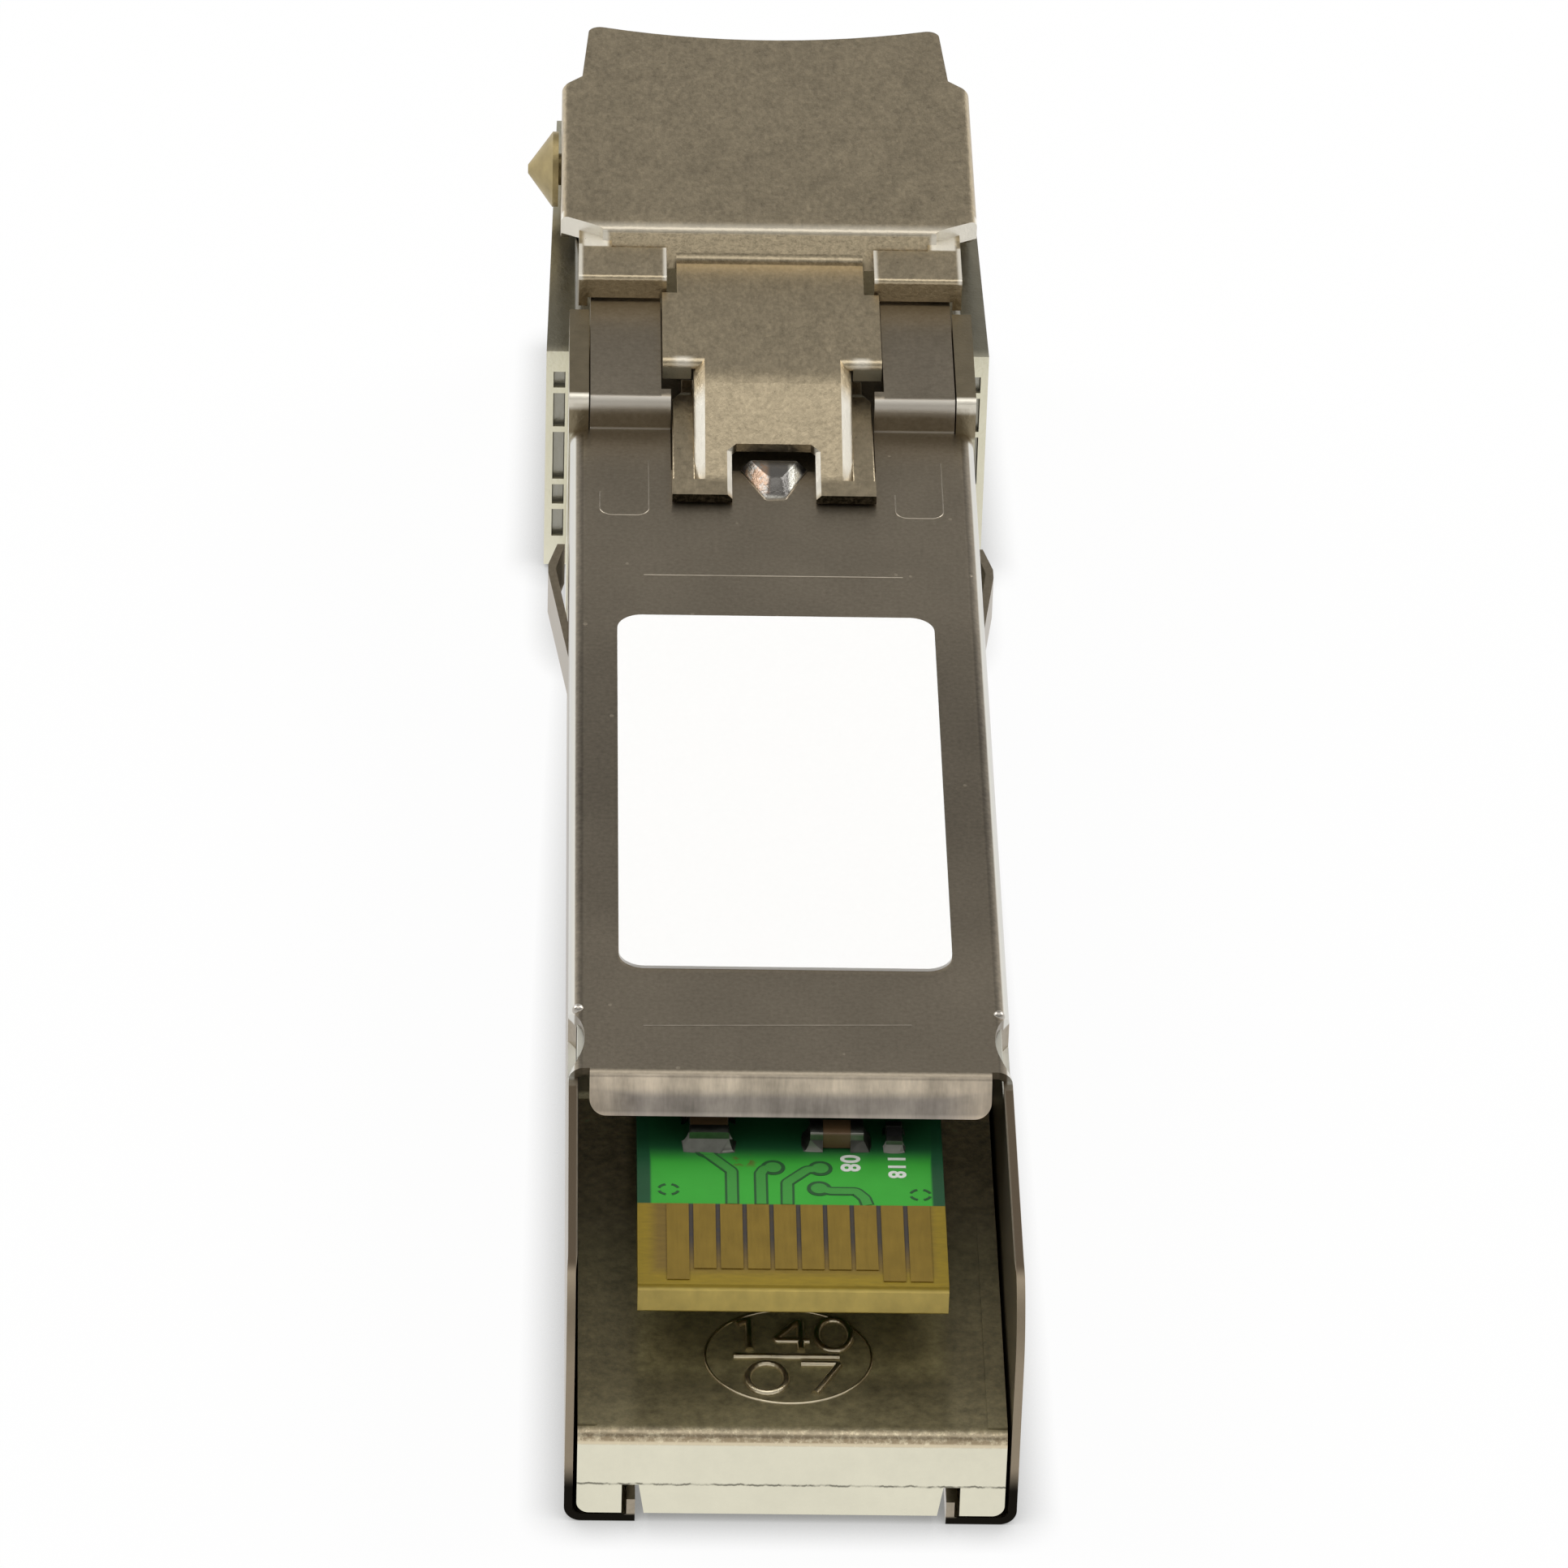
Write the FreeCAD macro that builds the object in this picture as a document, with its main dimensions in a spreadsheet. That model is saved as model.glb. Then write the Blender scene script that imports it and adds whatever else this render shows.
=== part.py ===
import FreeCAD, Part
import os
import Sketcher
from FreeCAD import Vector

# Millimetres. X runs across, +Y runs out of the cage towards the jack, +Z points to the latch side.
# The origin is where the latch shoulder meets the latch-side face, at mid width.

SIZES = {
    # Stamped sleeve
    "body_width": 13.4,
    "body_height": 8.5,
    "skin": 0.25,
    "rear_length": 45.0,
    "stop_length": 2.5,
    "opening_length": 33.9,
    "bend_radius": 0.5,
    "hook_half": 4.6,
    "hook_height": 0.8,
    "skirt_drop": 0.35,
    "skirt_corner": 2.3,
    "lip_half": 6.05,
    "lip_land": 0.22,
    "lip_reach": 0.5,
    "lip_depth": 1.24,
    "lip_corner": 0.5,
    "lip_radius": 0.3,
    "relief_length": 3.2,
    "relief_depth": 0.5,
    "relief_drop": 1.3,
    "step_height": 1.2,
    "step_half": 6.05,
    "plate_inner": 3.7,
    "plate_length": 8.0,
    "step_radius": 0.4,
    "cutout_half": 3.38,
    "boss_width": 2.2,
    "boss_length": 2.0,
    "boss_height": 0.45,
    "tongue_high": 3.4,
    "tongue_height": 1.8,
    "tongue_slit": 0.12,
    "tongue_root": 6.0,
    "tongue_apex": 0.6,
    "tongue_tip": 0.9,
    "tongue_bulge": 0.68,
    "tongue_return": 0.3,
    # Blank label
    "label_width": 10.2,
    "label_length": 19.7,
    "label_start": 8.95,
    "label_shift": 0.07,
    "label_thickness": 0.1,
    "label_corner": 0.8,
    # Die-cast body
    "side_gap": 0.12,
    "far_gap": 0.05,
    "floor_depth": 5.25,
    "floor_thin": 1.7,
    "shoulder_length": 17.0,
    "wall_thickness": 0.6,
    "shoulder_radius": 0.4,
    "kerb_inner": 5.75,
    "kerb_height": 0.08,
    "kerb_length": 10.6,
    "slot_inner": 4.5,
    "slot_outer": 5.0,
    "slot_flare": 0.2,
    "slot_depth": 1.05,
    "ledge_clearance": 0.3,
    "bridge_length": 4.0,
    "bridge_thickness": 1.2,
    "nose_length": 25.0,
    "nose_start": 9.4,
    "bulge_start": 2.9,
    "bulge_run": 2.1,
    "nose_half_back": 7.5,
    "nose_half_front": 7.2,
    "nose_depth": 9.75,
    "nose_ledge": 1.2,
    "nose_radius": 0.3,
    "deck_half": 6.55,
    "deck_drop": 0.2,
    "channel_half": 3.95,
    "channel_drop": 0.15,
    "strip_half": 6.75,
    "strip_height": 1.25,
    "strip_end": 8.1,
    "strip_radius": 0.3,
    "ear_thickness": 1.0,
    "ear_length": 2.6,
    "ear_height": 1.35,
    "pocket_inner": 6.85,
    "pocket_width": 0.4,
    "pocket_depth": 2.0,
    "pocket_top": 1.9,
    "pocket_bottom": 8.7,
    "pocket_rib": 0.22,
    # Release lever
    "sheet": 0.3,
    "pad_height": 2.5,
    "pad_start": 11.45,
    "pad_end": 25.3,
    "pad_half": 7.05,
    "pad_tip_half": 6.35,
    "pad_tip_end_half": 6.1,
    "pad_tip_start": 21.0,
    "pad_tip_slope": 0.7,
    "pad_tip_corner": 0.4,
    "pad_hollow": 0.9,
    "pad_corner_width": 1.4,
    "pad_corner_length": 0.75,
    "pad_radius": 0.3,
    "wall_lean": 0.5,
    "skirt_radius": 0.25,
    "flange_bottom": 0.85,
    "flange_start": 16.4,
    "tab_height": 2.1,
    "tab_start": 8.85,
    "tab_end": 10.8,
    "tab_inner": 3.5,
    "tab_outer": 6.45,
    "tab_face_bottom": 1.28,
    "tab_side_bottom": 0.95,
    "tab_radius": 0.15,
    "neck_height": 1.6,
    "neck_half": 3.15,
    "neck_wide_half": 3.65,
    "neck_bend": 0.35,
    "neck_end": 4.3,
    "neck_ear_inner": 2.7,
    "neck_ear_bottom": 0.9,
    "neck_ear_radius": 0.25,
    "ramp_top": 3.5,
    "ramp_half": 2.62,
    "ramp_bottom": 1.1,
    "ramp_edge": 0.36,
    "ramp_bend": 3.0,
    "foot_height": 0.36,
    "foot_half": 3.35,
    "foot_length": 2.05,
    "foot_bend": 1.2,
    "notch_half": 1.38,
    "notch_reach": 0.45,
    "notch_corner": 0.15,
    "notch_edge": 0.16,
    # Pivot
    "pivot_from_shoulder": 18.7,
    "pivot_height": 0.5,
    "pin_radius": 0.55,
    "pin_clearance": 0.05,
    "pin_seat": 0.02,
    "pin_head_radius": 1.3,
    "pin_head_rim": 0.2,
    "pin_head_length": 1.05,
    "pin_head_point": 0.15,
    "pin_play": 0.1,
    # Circuit board
    "board_depth": 2.25,
    "board_thickness": 1.0,
    "tongue_half": 4.6,
    "board_end": 41.8,
    "board_wide_half": 5.6,
    "board_wide_end": 30.0,
    "board_front": 4.5,
    "board_bevel": 0.14,
    "board_rest_gap": 0.05,
    "contact_pitch": 0.8,
    "contact_width": 0.66,
    "contact_shift": 0.2,
    "contact_thickness": 0.035,
    "contact_start": 37.7,
    "contact_end": 40.9,
    "contact_long_end": 41.45,
    # Electronics
    "phy_size": 8.0,
    "phy_height": 0.85,
    "phy_centre": 18.0,
    "thermal_size": 7.0,
    "thermal_height": 0.5,
    "magnetics_width": 8.0,
    "magnetics_length": 8.6,
    "magnetics_height": 2.6,
    "magnetics_centre": 5.4,
    "lead_thickness": 0.15,
    "lead_width": 0.4,
    "lead_reach": 0.7,
    "lead_rise": 0.7,
    "magnetics_pitch": 0.8,
    "memory_size": 3.0,
    "memory_height": 0.85,
    "memory_centre_x": -2.6,
    "memory_centre": 27.2,
    "memory_pitch": 0.65,
    "crystal_width": 2.5,
    "crystal_length": 3.2,
    "crystal_height": 0.7,
    "crystal_centre_x": 2.9,
    "crystal_centre": 12.0,
    "regulator_size": 3.0,
    "regulator_height": 0.85,
    "regulator_centre_x": 2.6,
    "regulator_centre": 26.0,
    "inductor_size": 4.0,
    "inductor_height": 1.6,
    "inductor_centre_x": 2.4,
    "inductor_centre": 20.0,
    "capacitor_width": 0.8,
    "capacitor_length": 1.6,
    "capacitor_height": 0.8,
    "resistor_width": 0.5,
    "resistor_length": 1.0,
    "resistor_height": 0.35,
    # Modular jack
    "insert_gap": 0.1,
    "insert_start": 7.0,
    "insert_recess": 0.4,
    "cavity_side": 0.95,
    "cavity_far_wall": 0.55,
    "cavity_latch_wall": 0.5,
    "plug_half": 5.9,
    "plug_height": 6.75,
    "plug_depth": 14.2,
    "plug_floor": 0.3,
    "clip_half": 3.1,
    "clip_height": 1.0,
    "access_half": 3.3,
    "access_length": 3.5,
    "wire_width": 0.35,
    "wire_thickness": 0.28,
    "wire_pitch": 1.02,
    "wire_gap": 0.02,
    "wire_bend": 21.6,
    "wire_tip": 12.6,
    "wire_rise": 2.0,
    "carrier_thickness": 1.5,
    "carrier_half": 5.6,
    "carrier_gap": 0.1,
    "carrier_slot": 0.45,
}

# Counts, and the boss's draft in degrees
COUNTS = {
    "contact_count": 10,
    "long_contacts_left": 1,
    "long_contacts_right_latch": 2,
    "long_contacts_right_far": 1,
    "magnetics_lead_count": 10,
    "memory_lead_count": 4,
    "wire_count": 8,
    "boss_taper": 35,
}

# Small parts on the latch side, as (across, from the shoulder towards the rear, turned)
CAPACITOR_PLACES = [(-2.43, 34.05, False), (1.41, 34.45, True), (-0.6, 30.5, True), (0.6, 28.0, False),
                    (-4.2, 22.0, False), (-2.6, 22.0, False), (-1.0, 22.0, False), (-3.6, 17.5, True),
                    (-3.6, 15.5, True), (4.6, 14.8, False), (0.2, 9.5, True), (-2.6, 9.5, True),
                    (3.4, 6.5, True)]
RESISTOR_PLACES = [(3.15, 34.35, False), (3.0, 31.0, True), (3.0, 30.0, True),
                   (-4.2, 30.6, True), (-0.9, 25.0, False), (0.1, 25.0, False), (-0.4, 17.5, True),
                   (-0.4, 16.3, True), (-0.4, 15.1, True), (-3.4, 6.5, False), (-2.4, 6.5, False)]
POCKET_RIBS = [2.75, 4.3, 6.4, 7.4]

doc = FreeCAD.newDocument("CopperTransceiver")
sheet = doc.addObject("Spreadsheet::Sheet", "Sizes")
VALUES = {**SIZES, **COUNTS}
for row, (name, number) in enumerate(VALUES.items(), start=1):
    sheet.set(f"A{row}", name)
    sheet.set(f"B{row}", str(number))
    sheet.setAlias(f"B{row}", name)
doc.recompute()


class Size:
    """A length that carries its number and the sheet expression that it follows."""

    def __init__(self, text, value):
        self.text = text
        self.value = value

    def joined(self, sign, other, value):
        return Size(f"({self.text} {sign} {given(other).text})", value)

    def __add__(self, other):
        return self.joined("+", other, self.value + given(other).value)

    def __sub__(self, other):
        return self.joined("-", other, self.value - given(other).value)

    def __mul__(self, other):
        return self.joined("*", other, self.value * given(other).value)

    def __truediv__(self, other):
        return self.joined("/", other, self.value / given(other).value)

    def __rsub__(self, other):
        return given(other) - self

    def __radd__(self, other):
        return given(other) + self

    def __rmul__(self, other):
        return given(other) * self

    def __neg__(self):
        return Size(f"(0 - {self.text})", -self.value)


def given(number):
    """Returns a Size for a plain number, and a Size as it is."""
    if isinstance(number, Size):
        return number
    return Size(f"({number!r})", float(number))


class SheetSizes:
    """Reads the sheet's values by name."""

    def __getattr__(self, name):
        return Size(f"Sizes.{name}", VALUES[name])


s = SheetSizes()


def bind(thing, path, size):
    """Makes one property follow the sheet."""
    thing.setExpression(path, given(size).text)


def new_body(label):
    """Starts a named sub-part at the shared origin."""
    body = doc.addObject("PartDesign::Body", label)
    body.Label = label
    body.Placement = FreeCAD.Placement()
    return body


def new_sketch(body, plane, offset):
    """Puts an empty sketch on one of the body's planes, moved along that plane's normal."""
    sketch = body.newObject("Sketcher::SketchObject", f"{body.Label}_sketch")
    base = [item for item in body.Origin.OriginFeatures if item.Role == plane][0]
    sketch.AttachmentSupport = [(base, "")]
    sketch.MapMode = "FlatFace"
    bind(sketch, "AttachmentOffset.Base.z", offset)
    return sketch


def pin_point(sketch, geometry, place, u, v):
    """Ties one sketch point to the sheet by its two distances from the origin."""
    for kind, size in (("DistanceX", u), ("DistanceY", v)):
        rule = Sketcher.Constraint(kind, -1, 1, geometry, place, given(size).value)
        index = sketch.addConstraint(rule)
        bind(sketch, f"Constraints[{index}]", size)


def draw_outline(sketch, outline):
    """Draws a closed outline of straight lines through the given corners."""
    corners = [Vector(given(u).value, given(v).value, 0) for u, v in outline]
    count = len(corners)
    for index in range(count):
        sketch.addGeometry(Part.LineSegment(corners[index], corners[(index + 1) % count]))
    for index in range(count):
        sketch.addConstraint(Sketcher.Constraint("Coincident", index, 2, (index + 1) % count, 1))
    for index, (u, v) in enumerate(outline):
        pin_point(sketch, index, 1, u, v)


def draw_circle(sketch, u, v, radius):
    """Draws a circle tied to the sheet."""
    centre = Vector(given(u).value, given(v).value, 0)
    sketch.addGeometry(Part.Circle(centre, Vector(0, 0, 1), given(radius).value))
    pin_point(sketch, 0, 3, u, v)
    index = sketch.addConstraint(Sketcher.Constraint("Radius", 0, given(radius).value))
    bind(sketch, f"Constraints[{index}]", radius)


def grow(body, sketch, length, cut):
    """Pads or pockets a sketch along its normal."""
    kind = "PartDesign::Pocket" if cut else "PartDesign::Pad"
    feature = body.newObject(kind, f"{body.Label}_{'cut' if cut else 'pad'}")
    feature.Profile = sketch
    bind(feature, "Length", length)
    if cut:
        feature.Reversed = True
    return feature


def plane_offset(plane, low, high):
    """The XZ plane's normal runs along -Y, so its sketch sits at the high end."""
    return -given(high) if plane == "XZ_Plane" else given(low)


def prism(body, plane, outline, low, high, cut=False):
    """Extrudes an outline between two positions along the plane's axis."""
    sketch = new_sketch(body, plane, plane_offset(plane, low, high))
    draw_outline(sketch, outline)
    return grow(body, sketch, given(high) - low, cut)


def disc(body, plane, u, v, radius, low, high, cut=False):
    """Extrudes a circle between two positions along the plane's axis."""
    sketch = new_sketch(body, plane, plane_offset(plane, low, high))
    draw_circle(sketch, u, v, radius)
    return grow(body, sketch, given(high) - low, cut)


def block(body, x, y, z, cut=False):
    """A box from three (low, high) pairs."""
    outline = [(x[0], y[0]), (x[1], y[0]), (x[1], y[1]), (x[0], y[1])]
    return prism(body, "XY_Plane", outline, z[0], z[1], cut)


def both(half):
    """The (low, high) pair of something centred on the mid plane."""
    return (-given(half), given(half))


def across(side, inner, outer):
    """The (low, high) pair on one side of the mid plane."""
    if side > 0:
        return (given(inner), given(outer))
    return (-given(outer), -given(inner))


def straight_edges(shape, axis, first, second):
    """Names the straight edges along an axis that pass through two given coordinates."""
    others = [index for index in range(3) if index != axis]
    wanted = (given(first).value, given(second).value)
    names = []
    for number, edge in enumerate(shape.Edges, start=1):
        ends = [vertex.Point for vertex in edge.Vertexes]
        if len(ends) == 2 and edge.Curve.TypeId == "Part::GeomLine":
            misses = [abs(end[index] - target) for end in ends for index, target in zip(others, wanted)]
            if max(misses) < 1e-4:
                names.append(f"Edge{number}")
    return names


def edges_between(shape, start, end):
    """Names the straight edges that lie on the line between two points."""
    first, last = (Vector(*(given(number).value for number in point)) for point in (start, end))
    line = Part.LineSegment(first, last).toShape()
    names = []
    for number, edge in enumerate(shape.Edges, start=1):
        if edge.Curve.TypeId == "Part::GeomLine":
            misses = [line.distToShape(Part.Vertex(vertex.Point))[0] for vertex in edge.Vertexes]
            if max(misses) < 1e-4:
                names.append(f"Edge{number}")
    return names


def soften(body, radius, picks, kind="PartDesign::Fillet", finder=straight_edges):
    """Rounds or bevels the edges that the finder names for each pick."""
    doc.recompute()
    base = body.Tip
    names = []
    for pick in picks:
        found = finder(base.Shape, *pick)
        if not found:
            raise RuntimeError(f"{body.Label}: no edge for {kind} at {len(names)} of {len(picks)}")
        names.extend(found)
    feature = body.newObject(kind, f"{body.Label}_soft")
    feature.Base = (base, sorted(set(names)))
    bind(feature, "Radius" if kind == "PartDesign::Fillet" else "Size", radius)
    return feature


def pattern(body, feature, length, count):
    """Repeats a feature along X."""
    row = body.newObject("PartDesign::LinearPattern", f"{body.Label}_row")
    row.Originals = [feature]
    axis = [item for item in body.Origin.OriginFeatures if item.Role == "X_Axis"][0]
    row.Direction = (axis, [""])
    bind(row, "Length", length)
    bind(row, "Occurrences", count)
    body.Tip = row
    return row


X, Y, Z = 0, 1, 2
SIDES = (-1, 1)

half = s.body_width / 2
inner_half = half - s.skin
far = -s.body_height
rear = -s.rear_length
stop = s.stop_length
opening = -s.opening_length
cast_half = inner_half - s.side_gap
cast_far = far + s.skin + s.far_gap
board_top = -s.board_depth
board_low = board_top - s.board_thickness
ledge_top = board_low - s.board_rest_gap
ledge_inner = s.magnetics_width / 2 + s.lead_reach + s.ledge_clearance
plate_low = s.step_height - s.skin
plate_end = stop + s.plate_length


def make_sleeve():
    """The stamped sleeve: a C section with hooks, stop step, plates, boss, lip and side tongues."""
    body = new_body("sleeve")
    hook = s.hook_half
    hook_out = hook + s.skin
    hook_top = far + s.hook_height
    inside = far + s.skin
    right = [(half, 0), (half, far), (hook, far), (hook, hook_top), (hook_out, hook_top),
             (hook_out, inside), (inner_half, inside), (inner_half, -s.skin)]
    left = [(-u, v) for u, v in reversed(right)]
    prism(body, "XZ_Plane", right + left, rear, stop)
    bends = [(Y, sign * half, height) for sign in SIDES for height in (0, far)]
    soften(body, s.bend_radius, bends)
    inner_bends = [(Y, sign * inner_half, height) for sign in SIDES for height in (-s.skin, inside)]
    soften(body, s.bend_radius - s.skin, inner_bends)
    over = s.bend_radius
    block(body, both(half + over), (rear - over, opening), (-s.skirt_drop, over), cut=True)
    soften(body, s.skirt_corner, [(X, rear, -s.skirt_drop)])
    block(body, both(s.cutout_half), (0, stop + over), (-s.skin - over, over), cut=True)
    lip_bend = opening - s.lip_land
    lip_back = lip_bend - s.lip_reach
    lip_start = opening + s.skin
    lip = [(lip_start, -s.skin), (lip_start, 0), (lip_bend, 0), (lip_back, -s.lip_depth),
           (lip_back + s.skin, -s.lip_depth), (lip_bend + s.skin, -s.skin)]
    prism(body, "YZ_Plane", lip, -s.lip_half, s.lip_half)
    soften(body, s.lip_radius, [(X, lip_bend, 0)])
    soften(body, s.lip_corner, [(Y, sign * s.lip_half, -s.lip_depth) for sign in SIDES])
    riser = stop + s.skin
    step = [(stop - s.bend_radius, -s.skin), (stop - s.bend_radius, 0), (stop, 0), (stop, s.step_height),
            (riser + s.step_radius, s.step_height), (riser + s.step_radius, plate_low), (riser, plate_low),
            (riser, -s.skin)]
    for side in SIDES:
        low, high = across(side, s.cutout_half, s.step_half)
        prism(body, "YZ_Plane", step, low, high)
    soften(body, s.step_radius, [(X, stop, s.step_height)])
    for side in SIDES:
        block(body, across(side, s.plate_inner, s.step_half), (riser, plate_end), (plate_low, s.step_height))
    chord = s.relief_length
    depth = s.relief_depth
    relief_radius = (chord * chord / 4 + depth * depth) / (2 * depth)
    relief_centre = half + relief_radius - s.relief_depth
    relief_y = opening + s.relief_length / 2
    for side in SIDES:
        disc(body, "XY_Plane", side * relief_centre, relief_y, relief_radius, -s.relief_drop, over, cut=True)
    window_high = -s.tongue_high
    window_low = window_high - s.tongue_height
    for side in SIDES:
        window_y = (-s.tongue_root, s.tongue_tip + s.tongue_slit)
        window_x = across(side, inner_half - over, half + over)
        block(body, window_x, window_y, (window_low, window_high), cut=True)
        apex = half + s.tongue_bulge
        tip = apex - s.tongue_return
        root = -s.tongue_root
        crest = -s.tongue_apex
        strip = [(inner_half, root - s.skin), (half, root - s.skin), (half, root), (apex, crest - s.skin),
                 (apex, crest + s.skin), (tip, s.tongue_tip), (tip - s.skin, s.tongue_tip),
                 (apex - s.skin, crest), (inner_half, root)]
        outline = [(side * u, v) for u, v in strip]
        prism(body, "XY_Plane", outline, window_low + s.tongue_slit, window_high - s.tongue_slit)
    triangle = [(-s.boss_width / 2, s.skin), (-s.boss_width / 2, 0), (0, -s.boss_length),
                (s.boss_width / 2, 0), (s.boss_width / 2, s.skin)]
    boss = prism(body, "XY_Plane", triangle, -s.skin, s.boss_height)
    bind(boss, "TaperAngle", -s.boss_taper)
    block(body, both(s.boss_width), (0, stop), (-s.skin - over, s.boss_height + over), cut=True)
    return body


def make_label():
    """The blank label, stuck on the sleeve."""
    body = new_body("blank_label")
    x = (-s.label_width / 2 - s.label_shift, s.label_width / 2 - s.label_shift)
    y = (-s.label_start - s.label_length, -s.label_start)
    block(body, x, y, (0, s.label_thickness))
    soften(body, s.label_corner, [(Z, u, v) for u in x for v in y])
    return body


def make_casting():
    """The die-cast body: shoulder, floor, walls, ledges, slots and the nose with the jack cavity."""
    body = new_body("diecast_body")
    floor_top = cast_far + s.floor_thin
    shoulder_front = rear + s.shoulder_length
    block(body, both(cast_half), (rear, stop), (cast_far, floor_top))
    block(body, both(cast_half), (rear, shoulder_front), (cast_far, -s.floor_depth))
    soften(body, s.bend_radius - s.skin / 2, [(Y, sign * cast_half, cast_far) for sign in SIDES])
    soften(body, s.shoulder_radius, [(X, rear, -s.floor_depth)])
    wall_top = -s.skin - s.far_gap
    floor_root = cast_far + s.skin
    for side in SIDES:
        wall_inner = cast_half - s.wall_thickness
        block(body, across(side, wall_inner, cast_half), (shoulder_front, stop), (floor_root, wall_top))
        block(body, across(side, ledge_inner, wall_inner), (shoulder_front, stop), (floor_root, ledge_top))
        kerb_y = (rear + s.shoulder_radius, rear + s.kerb_length)
        kerb_z = (-s.floor_depth - s.skin, -s.floor_depth + s.kerb_height)
        block(body, across(side, s.kerb_inner, cast_half), kerb_y, kerb_z)
    boss_half = s.thermal_size / 2
    boss_top = board_low - s.phy_height - s.thermal_height
    boss_y = (-s.phy_centre - boss_half, -s.phy_centre + boss_half)
    block(body, both(boss_half), boss_y, (floor_root, boss_top))
    block(body, both(cast_half), (stop - s.bridge_length, stop), (wall_top - s.bridge_thickness, wall_top))
    for side in SIDES:
        slot = [(s.slot_inner, cast_far + s.slot_depth), (s.slot_outer, cast_far + s.slot_depth),
                (s.slot_outer, cast_far - s.skin), (s.slot_inner - s.slot_flare, cast_far - s.skin)]
        prism(body, "XZ_Plane", [(side * u, v) for u, v in slot], rear - s.skin, stop, cut=True)
    make_nose(body)
    return body


def make_nose(body):
    """The casting's nose: neck, deck, ears, shell, cavity, access notch and the cored side pockets."""
    riser_gap = stop + s.skin + s.far_gap
    neck_far = far
    block(body, both(s.strip_half), (stop, s.nose_start), (neck_far, -s.channel_drop))
    for side in SIDES:
        riser = across(side, s.cutout_half - s.far_gap, s.step_half + s.far_gap)
        block(body, riser, (stop - s.skin, riser_gap), (-s.skin - s.far_gap, s.skin), cut=True)
    nose_far = -s.nose_depth
    bulge = [(s.bulge_start, neck_far), (s.bulge_start + s.bulge_run, nose_far), (s.nose_start, nose_far),
             (s.nose_start, neck_far)]
    prism(body, "YZ_Plane", bulge, -s.strip_half, s.strip_half)
    plan = [(-s.nose_half_back, s.nose_start), (s.nose_half_back, s.nose_start),
            (s.nose_half_front, s.nose_length), (-s.nose_half_front, s.nose_length)]
    prism(body, "XY_Plane", plan, nose_far, -s.nose_ledge)
    block(body, both(s.deck_half), (s.nose_start, s.nose_length), (-s.nose_ledge - s.skin, -s.deck_drop))
    deck_top = plate_low - s.far_gap
    for side in SIDES:
        deck = across(side, s.channel_half, s.step_half)
        block(body, deck, (riser_gap, plate_end), (-s.nose_ledge, deck_top))
        strip = across(side, s.step_half + s.far_gap, s.strip_half)
        block(body, strip, (stop, s.strip_end), (-s.nose_ledge, s.strip_height))
    soften(body, s.strip_radius, [(X, stop, s.strip_height)])
    pivot_y = s.pivot_from_shoulder
    for side in SIDES:
        ear = across(side, s.deck_half - s.ear_thickness, s.deck_half)
        ear_y = (pivot_y - s.ear_length / 2, pivot_y + s.ear_length / 2)
        block(body, ear, ear_y, (-s.deck_drop - s.skin, s.ear_height))
    soften(body, s.nose_radius, [(Y, sign * s.deck_half, -s.deck_drop) for sign in SIDES])
    soften(body, s.ear_length / 3, [(X, pivot_y + sign * s.ear_length / 2, s.ear_height) for sign in SIDES])
    drill = s.deck_half + s.skin
    disc(body, "YZ_Plane", pivot_y, s.pivot_height, s.pin_radius + s.pin_seat, -drill, drill, cut=True)
    cavity = both(s.nose_half_front - s.cavity_side)
    cavity_z = (nose_far + s.cavity_far_wall, -s.deck_drop - s.cavity_latch_wall)
    block(body, cavity, (s.insert_start - s.insert_gap, s.nose_length + s.skin), cavity_z, cut=True)
    passage = (stop - s.bridge_length - s.skin, s.insert_start)
    bridge_low = -s.skin - s.far_gap - s.bridge_thickness
    block(body, both(ledge_inner), passage, (cast_far + s.floor_thin, bridge_low), cut=True)
    board_path = both(s.board_wide_half + s.insert_gap)
    block(body, board_path, passage, (ledge_top, board_top + s.board_rest_gap), cut=True)
    carrier_seat = (carrier_back - s.insert_gap, s.insert_start)
    block(body, both(s.carrier_half + s.insert_gap), carrier_seat, (cavity_z[0], board_low), cut=True)
    access = (s.nose_length - s.access_length, s.nose_length + s.skin)
    block(body, both(s.access_half), access, (cavity_z[1] - s.skin, s.skin), cut=True)
    limits = [s.pocket_top] + [given(place) for place in POCKET_RIBS] + [s.pocket_bottom]
    for side in SIDES:
        width = across(side, s.pocket_inner, s.pocket_inner + s.pocket_width)
        for above, below in zip(limits, limits[1:]):
            block(body, width, (s.nose_start - s.skin, s.nose_start + s.pocket_depth),
                  (-below + s.pocket_rib / 2, -above - s.pocket_rib / 2), cut=True)


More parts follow.
